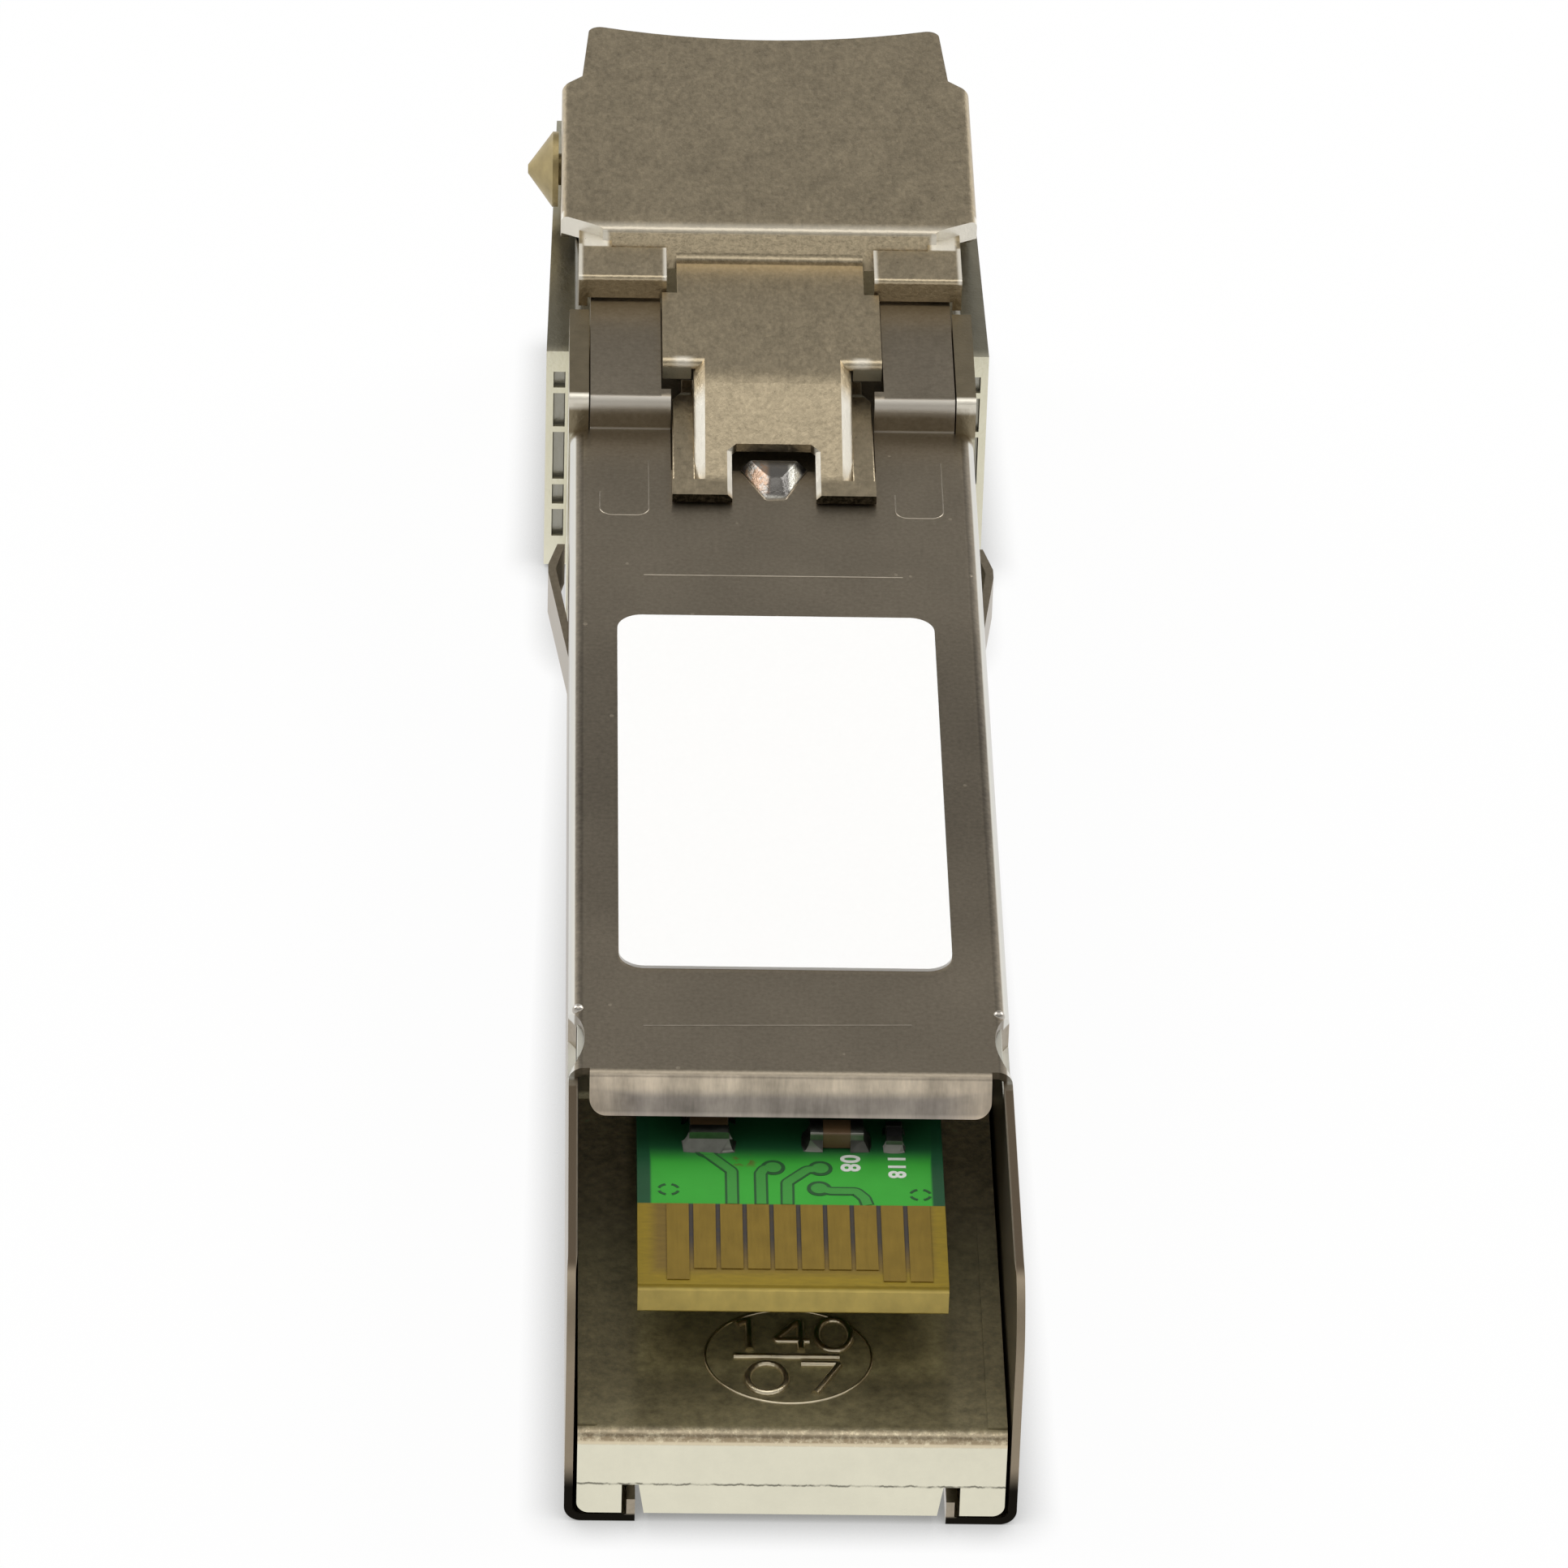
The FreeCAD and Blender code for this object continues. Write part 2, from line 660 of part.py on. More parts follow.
def form_ramp(body):
    """Ramp and feet: a solid run, bent, notched round the boss, bevelled, then hollowed from below."""
    foot_low = s.foot_height - s.sheet
    neck_low = s.neck_height - s.sheet
    root = s.neck_end + s.neck_bend
    below = -s.ramp_edge
    run = [(root, below), (root, s.neck_height), (s.ramp_top, s.neck_height), (-s.ramp_bottom, s.foot_height),
           (-s.foot_length, s.foot_height), (-s.foot_length, below)]
    prism(body, "YZ_Plane", run, -s.ramp_half, s.ramp_half)
    soften(body, s.ramp_bend, [(X, s.ramp_top, s.neck_height)])
    soften(body, s.foot_bend, [(X, -s.ramp_bottom, s.foot_height)])
    notch_in = s.notch_half - s.notch_corner
    clip_y = s.notch_reach - s.notch_corner
    right = [(s.notch_half, -s.foot_length - s.sheet), (s.notch_half, clip_y), (notch_in, s.notch_reach)]
    left = [(-u, v) for u, v in reversed(right)]
    prism(body, "XY_Plane", right + left, below - s.sheet, s.neck_height, cut=True)
    slope = ((s.ramp_top, s.neck_height), (-s.ramp_bottom, s.foot_height))
    for half_width, bevel in ((s.ramp_half, s.ramp_edge), (s.notch_half, s.notch_edge)):
        edges = [[(side * half_width, *end) for end in slope] for side in SIDES]
        soften(body, bevel, edges, "PartDesign::Chamfer", edges_between)
    under = [(root + s.sheet, below - s.sheet), (root + s.sheet, neck_low), (s.ramp_top, neck_low),
             (-s.ramp_bottom, foot_low), (-s.ramp_bottom, below - s.sheet)]
    hollow = s.ramp_half - s.sheet
    prism(body, "YZ_Plane", under, -hollow, hollow, cut=True)
    trim_y = (-s.foot_length - s.sheet, root + s.sheet)
    block(body, both(s.foot_half), trim_y, (below - s.sheet, foot_low), cut=True)
    for side in SIDES:
        foot = across(side, s.notch_half + s.notch_edge, s.foot_half)
        block(body, foot, (-s.foot_length, -s.ramp_bottom), (foot_low, s.foot_height))


def form_neck(body):
    """The neck, with an ear folded down at each side of the ramp."""
    neck_low = s.neck_height - s.sheet
    wide_end = s.tab_start - s.sheet / 2
    block(body, both(s.neck_wide_half), (s.neck_end, wide_end), (neck_low, s.neck_height))
    block(body, both(s.neck_half), (wide_end - s.sheet, s.pad_start + s.sheet), (neck_low, s.neck_height))
    for side in SIDES:
        ear = across(side, s.neck_ear_inner, s.neck_wide_half)
        block(body, ear, (s.neck_end, s.neck_end + s.sheet), (s.neck_ear_bottom, s.neck_height))
    soften(body, s.neck_ear_radius, [(X, s.neck_end, s.neck_height)])


def form_pad(body):
    """The pad with its hollow tip, and the bend that drops from its near edge to the neck."""
    top = s.pad_height
    low = top - s.sheet
    corner_in = s.pad_half - s.pad_corner_width
    corner_y = s.pad_start + s.pad_corner_length
    tip_y = s.pad_tip_start + s.pad_tip_slope
    right = [(corner_in, s.pad_start), (s.pad_half, corner_y), (s.pad_half, s.pad_tip_start),
             (s.pad_tip_half, tip_y), (s.pad_tip_end_half, s.pad_end)]
    left = [(-u, v) for u, v in reversed(right)]
    neck_low = s.neck_height - s.sheet
    bend_y = s.pad_start - s.wall_lean
    wall_low = s.pad_start - s.wall_lean * (top - neck_low) / (top - s.neck_height)
    wall = [(s.pad_start, top), (wall_low, neck_low), (wall_low + s.sheet, neck_low),
            (s.pad_start + s.sheet, low), (s.pad_start + s.sheet, top)]
    prism(body, "YZ_Plane", wall, -corner_in, corner_in)
    prism(body, "XY_Plane", right + left, low, top)
    half_tip = s.pad_tip_end_half
    hollow_radius = (half_tip * half_tip + s.pad_hollow * s.pad_hollow) / (2 * s.pad_hollow)
    hollow_y = s.pad_end - s.pad_hollow + hollow_radius
    disc(body, "XY_Plane", 0, hollow_y, hollow_radius, low - s.sheet, top + s.sheet, cut=True)
    soften(body, s.pad_tip_corner, [(Z, side * half_tip, s.pad_end) for side in SIDES])
    for side in SIDES:
        corner = [(corner_in, s.pad_start), (s.pad_half, corner_y),
                  (s.pad_half - s.sheet, corner_y + s.sheet / 2), (corner_in, s.pad_start + s.sheet)]
        prism(body, "XY_Plane", [(side * u, v) for u, v in corner], s.tab_height - s.sheet, low)
    soften(body, s.neck_bend, [(X, bend_y, s.neck_height)])


def form_skirt(body, side):
    """A side skirt that carries the pivot hole."""
    low = s.pad_height - s.sheet
    corner_y = s.pad_start + s.pad_corner_length
    skirt = [(corner_y, low), (corner_y, s.tab_height - s.sheet), (s.flange_start, -s.flange_bottom),
             (s.pad_tip_start, -s.flange_bottom), (s.pad_tip_start, low)]
    prism(body, "YZ_Plane", skirt, *across(side, s.pad_half - s.sheet, s.pad_half))


def form_tab(body, side):
    """A folded tab beside the neck, joined to the pad's corner."""
    tab_low = s.tab_height - s.sheet
    link = across(side, s.pad_half - s.pad_corner_width - s.sheet, s.tab_outer)
    block(body, link, (s.tab_end - s.sheet, s.pad_start + s.pad_corner_length), (tab_low, s.tab_height))
    tab = across(side, s.tab_inner, s.tab_outer)
    block(body, tab, (s.tab_start, s.tab_end), (tab_low, s.tab_height))
    block(body, tab, (s.tab_start, s.tab_start + s.sheet), (s.tab_face_bottom, s.tab_height))
    tab_side = across(side, s.tab_outer - s.sheet, s.tab_outer)
    block(body, tab_side, (s.tab_start, s.tab_end), (s.tab_side_bottom, s.tab_height))


def make_lever():
    """The stamped release lever, formed from one sheet."""
    body = new_body("release_lever")
    form_ramp(body)
    form_neck(body)
    form_pad(body)
    for side in SIDES:
        form_skirt(body, side)
        form_tab(body, side)
    top = s.pad_height
    soften(body, s.pad_radius, [(X, s.pad_start, top)])
    soften(body, s.skirt_radius, [(Y, side * s.pad_half, top) for side in SIDES])
    soften(body, s.tab_radius, [(X, s.tab_start, s.tab_height)])
    disc(body, "YZ_Plane", s.pivot_from_shoulder, s.pivot_height, s.pin_radius + s.pin_clearance,
         -s.pad_half - s.sheet, s.pad_half + s.sheet, cut=True)
    return body


def make_pin():
    """The pivot pin with its pointed head on the left."""
    body = new_body("pivot_pin")
    pivot = (s.pivot_from_shoulder, s.pivot_height)
    head_in = s.pad_half + s.pin_play
    disc(body, "YZ_Plane", *pivot, s.pin_radius, -head_in - s.pin_head_rim, s.pad_half)
    disc(body, "YZ_Plane", *pivot, s.pin_head_radius, -head_in - s.pin_head_length, -head_in)
    doc.recompute()
    base = body.Tip
    tip_x = -(head_in + s.pin_head_length).value
    names = [f"Edge{number}" for number, edge in enumerate(base.Shape.Edges, start=1)
             if len(edge.Vertexes) == 1 and abs(edge.Vertexes[0].Point.x - tip_x) < 1e-4]
    point = body.newObject("PartDesign::Chamfer", "pivot_pin_point")
    point.Base = (base, names)
    point.ChamferType = "Two distances"
    bind(point, "Size", s.pin_head_length - s.pin_head_rim)
    bind(point, "Size2", s.pin_head_radius - s.pin_head_point)
    return body


def make_board():
    """The circuit board with its bevelled tongue."""
    body = new_body("circuit_board")
    right = [(s.tongue_half, -s.board_end), (s.tongue_half, -s.board_wide_end),
             (s.board_wide_half, -s.board_wide_end), (s.board_wide_half, s.board_front)]
    left = [(-u, v) for u, v in reversed(right)]
    prism(body, "XY_Plane", right + left, board_low, board_top)
    edges = [(X, -s.board_end, board_top), (X, -s.board_end, board_low)]
    soften(body, s.board_bevel, edges, "PartDesign::Chamfer")
    return body


def make_contacts(label, low, long_right):
    """One row of edge contacts; the outer ones reach further towards the board's end."""
    body = new_body(label)
    high = low + s.contact_thickness
    row_half = s.contact_pitch * (s.contact_count - 1) / 2
    first = s.contact_shift - row_half
    last = s.contact_shift + row_half
    half_width = s.contact_width / 2
    short_y = (-s.contact_end, -s.contact_start)
    pad = block(body, (first - half_width, first + half_width), short_y, (low, high))
    pattern(body, pad, row_half * 2, s.contact_count)
    centres = [first + s.contact_pitch * index for index in range(int(s.long_contacts_left.value))]
    centres += [last - s.contact_pitch * index for index in range(int(long_right.value))]
    long_y = (-s.contact_long_end, -s.contact_end + s.contact_thickness)
    for centre in centres:
        block(body, (centre - half_width, centre + half_width), long_y, (low, high))
    return body


def chip(label, centre_x, centre_y, width, length, low, high):
    """A plain package."""
    body = new_body(label)
    x = (centre_x - width / 2, centre_x + width / 2)
    y = (centre_y - length / 2, centre_y + length / 2)
    block(body, x, y, (low, high))
    return body


def lead_rows(label, centre_x, centre_y, width, pitch, count, board_face, towards):
    """Two rows of bent leads along Y beside a package; towards is +1 above the board, -1 below it."""
    body = new_body(label)
    first = centre_y - pitch * (count - 1) / 2
    number = int(given(count).value)
    rise = towards * s.lead_rise
    thick = towards * s.lead_thickness
    for side in SIDES:
        root = width / 2
        mid = root + s.lead_reach / 2
        tip = root + s.lead_reach
        profile = [(root, board_face + rise), (mid, board_face + rise), (mid, board_face + thick),
                   (tip, board_face + thick), (tip, board_face), (mid - s.lead_thickness, board_face),
                   (mid - s.lead_thickness, board_face + rise - thick), (root, board_face + rise - thick)]
        outline = [(centre_x + side * u, v) for u, v in profile]
        for index in range(number):
            y = first + pitch * index
            prism(body, "XZ_Plane", outline, y - s.lead_width / 2, y + s.lead_width / 2)
    return body


def small_parts(label, places, width, length, height):
    """A group of chip parts on the board's latch side."""
    group = []
    for number, (x, y, turned) in enumerate(places, start=1):
        part = doc.addObject("Part::Box", f"{label}_{number}")
        long_side, short_side = ("Length", "Width") if turned else ("Width", "Length")
        bind(part, long_side, length)
        bind(part, short_side, width)
        bind(part, "Height", height)
        span_x, span_y = (length, width) if turned else (width, length)
        bind(part, "Placement.Base.x", x - span_x / 2)
        bind(part, "Placement.Base.y", -y - span_y / 2)
        bind(part, "Placement.Base.z", board_top)
        group.append(part)
    compound = doc.addObject("Part::Compound", label)
    compound.Links = group
    compound.Label = label
    return compound


def make_electronics():
    """The packages on both sides of the board."""
    zero = given(0)
    phy_y = -s.phy_centre
    phy_low = board_low - s.phy_height
    pad_low = phy_low - s.thermal_height
    mag_y = -s.magnetics_centre
    mag_high = board_low - s.lead_thickness
    mag_low = mag_high - s.magnetics_height
    memory_x = s.memory_centre_x
    memory_y = -s.memory_centre
    memory_low = board_top + s.lead_thickness
    memory_top = memory_low + s.memory_height
    crystal = (s.crystal_centre_x, -s.crystal_centre, s.crystal_width, s.crystal_length)
    regulator = (s.regulator_centre_x, -s.regulator_centre, s.regulator_size, s.regulator_size)
    inductor = (s.inductor_centre_x, -s.inductor_centre, s.inductor_size, s.inductor_size)
    return [
        chip("phy_chip", zero, phy_y, s.phy_size, s.phy_size, phy_low, board_low),
        chip("thermal_pad", zero, phy_y, s.thermal_size, s.thermal_size, pad_low, phy_low),
        chip("magnetics_module", zero, mag_y, s.magnetics_width, s.magnetics_length, mag_low, mag_high),
        lead_rows("magnetics_leads", zero, mag_y, s.magnetics_width, s.magnetics_pitch,
                  s.magnetics_lead_count, board_low, -1),
        chip("memory_chip", memory_x, memory_y, s.memory_size, s.memory_size, memory_low, memory_top),
        lead_rows("memory_leads", memory_x, memory_y, s.memory_size, s.memory_pitch,
                  s.memory_lead_count, board_top, 1),
        chip("clock_crystal", *crystal, board_top, board_top + s.crystal_height),
        chip("voltage_regulator", *regulator, board_top, board_top + s.regulator_height),
        chip("power_inductor", *inductor, board_top, board_top + s.inductor_height),
        small_parts("ceramic_capacitors", CAPACITOR_PLACES, s.capacitor_width, s.capacitor_length,
                    s.capacitor_height),
        small_parts("chip_resistors", RESISTOR_PLACES, s.resistor_width, s.resistor_length,
                    s.resistor_height),
    ]


insert_half = s.nose_half_front - s.cavity_side - s.insert_gap
insert_far = -s.nose_depth + s.cavity_far_wall + s.insert_gap
insert_latch = -s.deck_drop - s.cavity_latch_wall - s.insert_gap
insert_front = s.nose_length - s.insert_recess
plug_far = insert_far + s.plug_floor
plug_latch = plug_far + s.plug_height
plug_back = insert_front - s.plug_depth
wire_low = plug_far + s.wire_gap
wire_half_row = s.wire_pitch * (s.wire_count - 1) / 2
carrier_front = s.insert_start - s.carrier_gap
carrier_back = carrier_front - s.carrier_thickness


def make_insert():
    """The jack's plastic insert with the plug opening, clip channel and contact window."""
    body = new_body("jack_insert")
    block(body, both(insert_half), (s.insert_start, insert_front), (insert_far, insert_latch))
    block(body, both(s.plug_half), (plug_back, insert_front + s.skin), (plug_far, plug_latch), cut=True)
    clip_z = (plug_latch - s.skin, plug_latch + s.clip_height)
    block(body, both(s.clip_half), (plug_back, insert_front + s.skin), clip_z, cut=True)
    window = both(wire_half_row + s.wire_width)
    window_z = (plug_far, plug_far + s.wire_thickness * 2)
    block(body, window, (s.insert_start - s.skin, plug_back + s.skin), window_z, cut=True)
    return body


def make_wires():
    """Eight contact wires from the board, through the carrier and round into the plug opening."""
    body = new_body("jack_contacts")
    t = s.wire_thickness
    riser = carrier_back + s.carrier_thickness / 2
    tail = riser - t
    tip_z = wire_low + s.wire_rise
    profile = [(tail, ledge_top), (tail, wire_low), (s.wire_bend, wire_low), (s.wire_bend, wire_low + t * 2),
               (s.wire_tip, tip_z + t), (s.wire_tip, tip_z), (s.wire_bend - t * 2, wire_low + t),
               (riser, wire_low + t), (riser, ledge_top)]
    first = -wire_half_row
    wire = prism(body, "YZ_Plane", profile, first - s.wire_width / 2, first + s.wire_width / 2)
    pattern(body, wire, s.wire_pitch * (s.wire_count - 1), s.wire_count)
    return body


def make_carrier():
    """The slotted comb that holds the contact wires."""
    body = new_body("contact_carrier")
    high = ledge_top - s.board_rest_gap
    block(body, both(s.carrier_half), (carrier_back, carrier_front), (insert_far, high))
    first = -wire_half_row
    slot_x = (first - s.carrier_slot / 2, first + s.carrier_slot / 2)
    slot_y = (carrier_back - s.skin, carrier_back + s.carrier_thickness / 2 + s.wire_gap)
    slot = block(body, slot_x, slot_y, (plug_far, high + s.skin), cut=True)
    pattern(body, slot, s.wire_pitch * (s.wire_count - 1), s.wire_count)
    run_y = (carrier_back - s.skin, carrier_front + s.skin)
    run_z = (insert_far - s.skin, plug_far + s.wire_thickness * 2)
    body.Tip = block(body, both(wire_half_row + s.wire_width), run_y, run_z, cut=True)
    return body


nodes = [make_casting(), make_sleeve(), make_label(), make_lever(), make_pin(), make_board()]
far_contacts = board_low - s.contact_thickness
nodes.append(make_contacts("edge_contacts_latch_side", board_top, s.long_contacts_right_latch))
nodes.append(make_contacts("edge_contacts_far_side", far_contacts, s.long_contacts_right_far))
nodes.extend(make_electronics())
nodes.extend([make_insert(), make_wires(), make_carrier()])
doc.recompute()

for item in doc.Objects:
    if "Invalid" in item.State or "Error" in item.State:
        raise RuntimeError(f"{item.Label}: {item.State}")

os.makedirs("parts", exist_ok=True)
for node in nodes:
    shape = node.Shape
    if shape.isNull() or not shape.isValid():
        raise RuntimeError(f"{node.Label}: shape is null or not valid")
    shape.exportStep(f"parts/{node.Label}.step")
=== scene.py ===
import math

import bmesh
import bpy
from mathutils import Matrix, Vector


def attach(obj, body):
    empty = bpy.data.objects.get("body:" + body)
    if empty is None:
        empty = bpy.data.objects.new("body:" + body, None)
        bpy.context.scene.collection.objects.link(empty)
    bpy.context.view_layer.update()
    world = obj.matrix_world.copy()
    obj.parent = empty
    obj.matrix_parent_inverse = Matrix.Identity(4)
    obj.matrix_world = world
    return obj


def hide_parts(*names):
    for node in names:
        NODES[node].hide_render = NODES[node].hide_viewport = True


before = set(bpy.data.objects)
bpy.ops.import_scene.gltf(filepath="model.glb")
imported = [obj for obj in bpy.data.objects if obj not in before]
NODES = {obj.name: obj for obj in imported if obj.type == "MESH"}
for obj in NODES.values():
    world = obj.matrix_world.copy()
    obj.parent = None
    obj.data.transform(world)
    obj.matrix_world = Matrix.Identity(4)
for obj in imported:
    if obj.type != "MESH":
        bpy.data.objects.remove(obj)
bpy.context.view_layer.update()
MM = 0.001
QUARTER_TURN = math.pi / 2

# Row frame in millimetres: X to the right seen from the rear, Y towards the jack,
# Z out of the latch side
BOARD_FACE = -2.25
FLOOR_FACE = -5.25
REAR = -45.0
NOSE_HEEL = 5.0
NOSE_BOTTOM = -9.75
SLEEVE_BOTTOM = -8.5
MASK_EDGE = -37.65
PAD_PITCH = 0.8
PAD_SHIFT = 0.2
SHORT_PADS_END = -40.9

# Corners nearer than this become one
MERGE_GAP = 0.0002

# Edges that turn by more degrees than these stay sharp
PLAIN_SHARP = 35.0
SOLID_SHARP = 20.0


class Wire:
    """A shader socket that takes part in Python expressions."""

    def __init__(self, tree, socket):
        self.tree = tree
        self.socket = socket

    def __add__(self, other):
        return calculate(self.tree, "ADD", self, other)

    def __radd__(self, other):
        return calculate(self.tree, "ADD", other, self)

    def __sub__(self, other):
        return calculate(self.tree, "SUBTRACT", self, other)

    def __rsub__(self, other):
        return calculate(self.tree, "SUBTRACT", other, self)

    def __mul__(self, other):
        return calculate(self.tree, "MULTIPLY", self, other)

    def __rmul__(self, other):
        return calculate(self.tree, "MULTIPLY", other, self)

    def __neg__(self):
        return calculate(self.tree, "MULTIPLY", self, -1.0)

    def __abs__(self):
        return calculate(self.tree, "ABSOLUTE", self)

    def most(self, other):
        return calculate(self.tree, "MAXIMUM", self, other)

    def fold(self, length):
        """Runs to and fro between 0 and a length."""
        return calculate(self.tree, "PINGPONG", self, length)

    def swing(self, amount):
        """A noise's swing about its middle, times an amount."""
        return (self - 0.5) * amount


def calculate(tree, operation, *values):
    node = tree.nodes.new("ShaderNodeMath")
    node.operation = operation
    for socket, value in zip(node.inputs, values):
        feed(tree, socket, value)
    return Wire(tree, node.outputs[0])


def feed(tree, socket, value):
    """Links a wire to a socket, or sets a plain value on it."""
    if isinstance(value, Wire):
        tree.links.new(value.socket, socket)
    elif isinstance(value, tuple) and len(value) == 3 and socket.type == "RGBA":
        socket.default_value = (*value, 1.0)
    else:
        socket.default_value = value


def set_stops(ramp, stops):
    """Gives a colour ramp its stops, each a position and a colour."""
    while len(ramp.elements) < len(stops):
        ramp.elements.new(1.0)
    for element, (position, colour) in zip(ramp.elements, stops):
        element.position = position
        element.color = (*colour, 1.0)


class Finish:
    """Builds the nodes of one material, or of the world."""

    def __init__(self, holder):
        holder.use_nodes = True
        self.holder = holder
        self.tree = holder.node_tree
        self.tree.nodes.clear()

    def node(self, kind, settings=None, inputs=None, out=0):
        node = self.tree.nodes.new(kind)
        for key, value in (settings or {}).items():
            if key == "stops":
                set_stops(node.color_ramp, value)
            else:
                setattr(node, key, value)
        for key, value in (inputs or {}).items():
            feed(self.tree, node.inputs[key], value)
        return Wire(self.tree, node.outputs[out])

    def split(self, vector):
        return [self.node("ShaderNodeSeparateXYZ", inputs={0: vector}, out=axis) for axis in "XYZ"]

    def point(self):
        """The point in the row frame, in millimetres."""
        return self.shade(self.node("ShaderNodeTexCoord", out="Object"), 1 / MM)

    def place(self):
        """The point in the row frame, in millimetres: the vector, then its three numbers."""
        point = self.point()
        return point, *self.split(point)

    def facing(self):
        """The surface's own normal in the row frame, as three numbers."""
        return self.split(self.node("ShaderNodeTexCoord", out="Normal"))

    def noise(self, point, scale, detail=2.0, rough=0.5):
        inputs = {"Vector": point, "Scale": scale, "Detail": detail, "Roughness": rough}
        return self.node("ShaderNodeTexNoise", inputs=inputs)

    def specks(self, point, scale):
        """Distance to the nearest of many scattered points."""
        return self.node("ShaderNodeTexVoronoi", inputs={"Vector": point, "Scale": scale})

    def stretched(self, point, scale):
        return self.node("ShaderNodeVectorMath", {"operation": "MULTIPLY"}, {0: point, 1: scale})

    def step(self, value, low, high):
        """0 below low and 1 above high, with a smooth rise between them."""
        return self.node("ShaderNodeMapRange", {"interpolation_type": "SMOOTHSTEP"},
                         {"Value": value, "From Min": low, "From Max": high})

    def under(self, value, low, high):
        """1 below low and 0 above high, with a smooth fall between them."""
        return 1.0 - self.step(value, low, high)

    def within(self, value, low, high, soft):
        """1 between low and high."""
        rise = self.step(value, low - soft, low + soft)
        return rise * self.under(value, high - soft, high + soft)

    def blend(self, factor, first, second):
        inputs = {0: factor, 6: first, 7: second}
        return self.node("ShaderNodeMix", {"data_type": "RGBA"}, inputs, out=2)

    def shade(self, colour, amount):
        """Multiplies a colour or a vector by a number."""
        inputs = {0: colour, "Scale": amount}
        return self.node("ShaderNodeVectorMath", {"operation": "SCALE"}, inputs)

    def bump(self, height, strength, distance):
        inputs = {"Height": height, "Strength": strength, "Distance": distance * MM}
        return self.node("ShaderNodeBump", inputs=inputs)

    def end(self, kind, surface):
        output = self.tree.nodes.new(kind)
        self.tree.links.new(surface.socket, output.inputs["Surface"])
        return self.holder

    def done(self, colour, roughness, metallic, normal, **constants):
        inputs = {"Base Color": colour, "Roughness": roughness, "Metallic": metallic,
                  "Normal": normal, **constants}
        surface = self.node("ShaderNodeBsdfPrincipled", inputs=inputs)
        return self.end("ShaderNodeOutputMaterial", surface)


def new_finish(name):
    return Finish(bpy.data.materials.new(name))


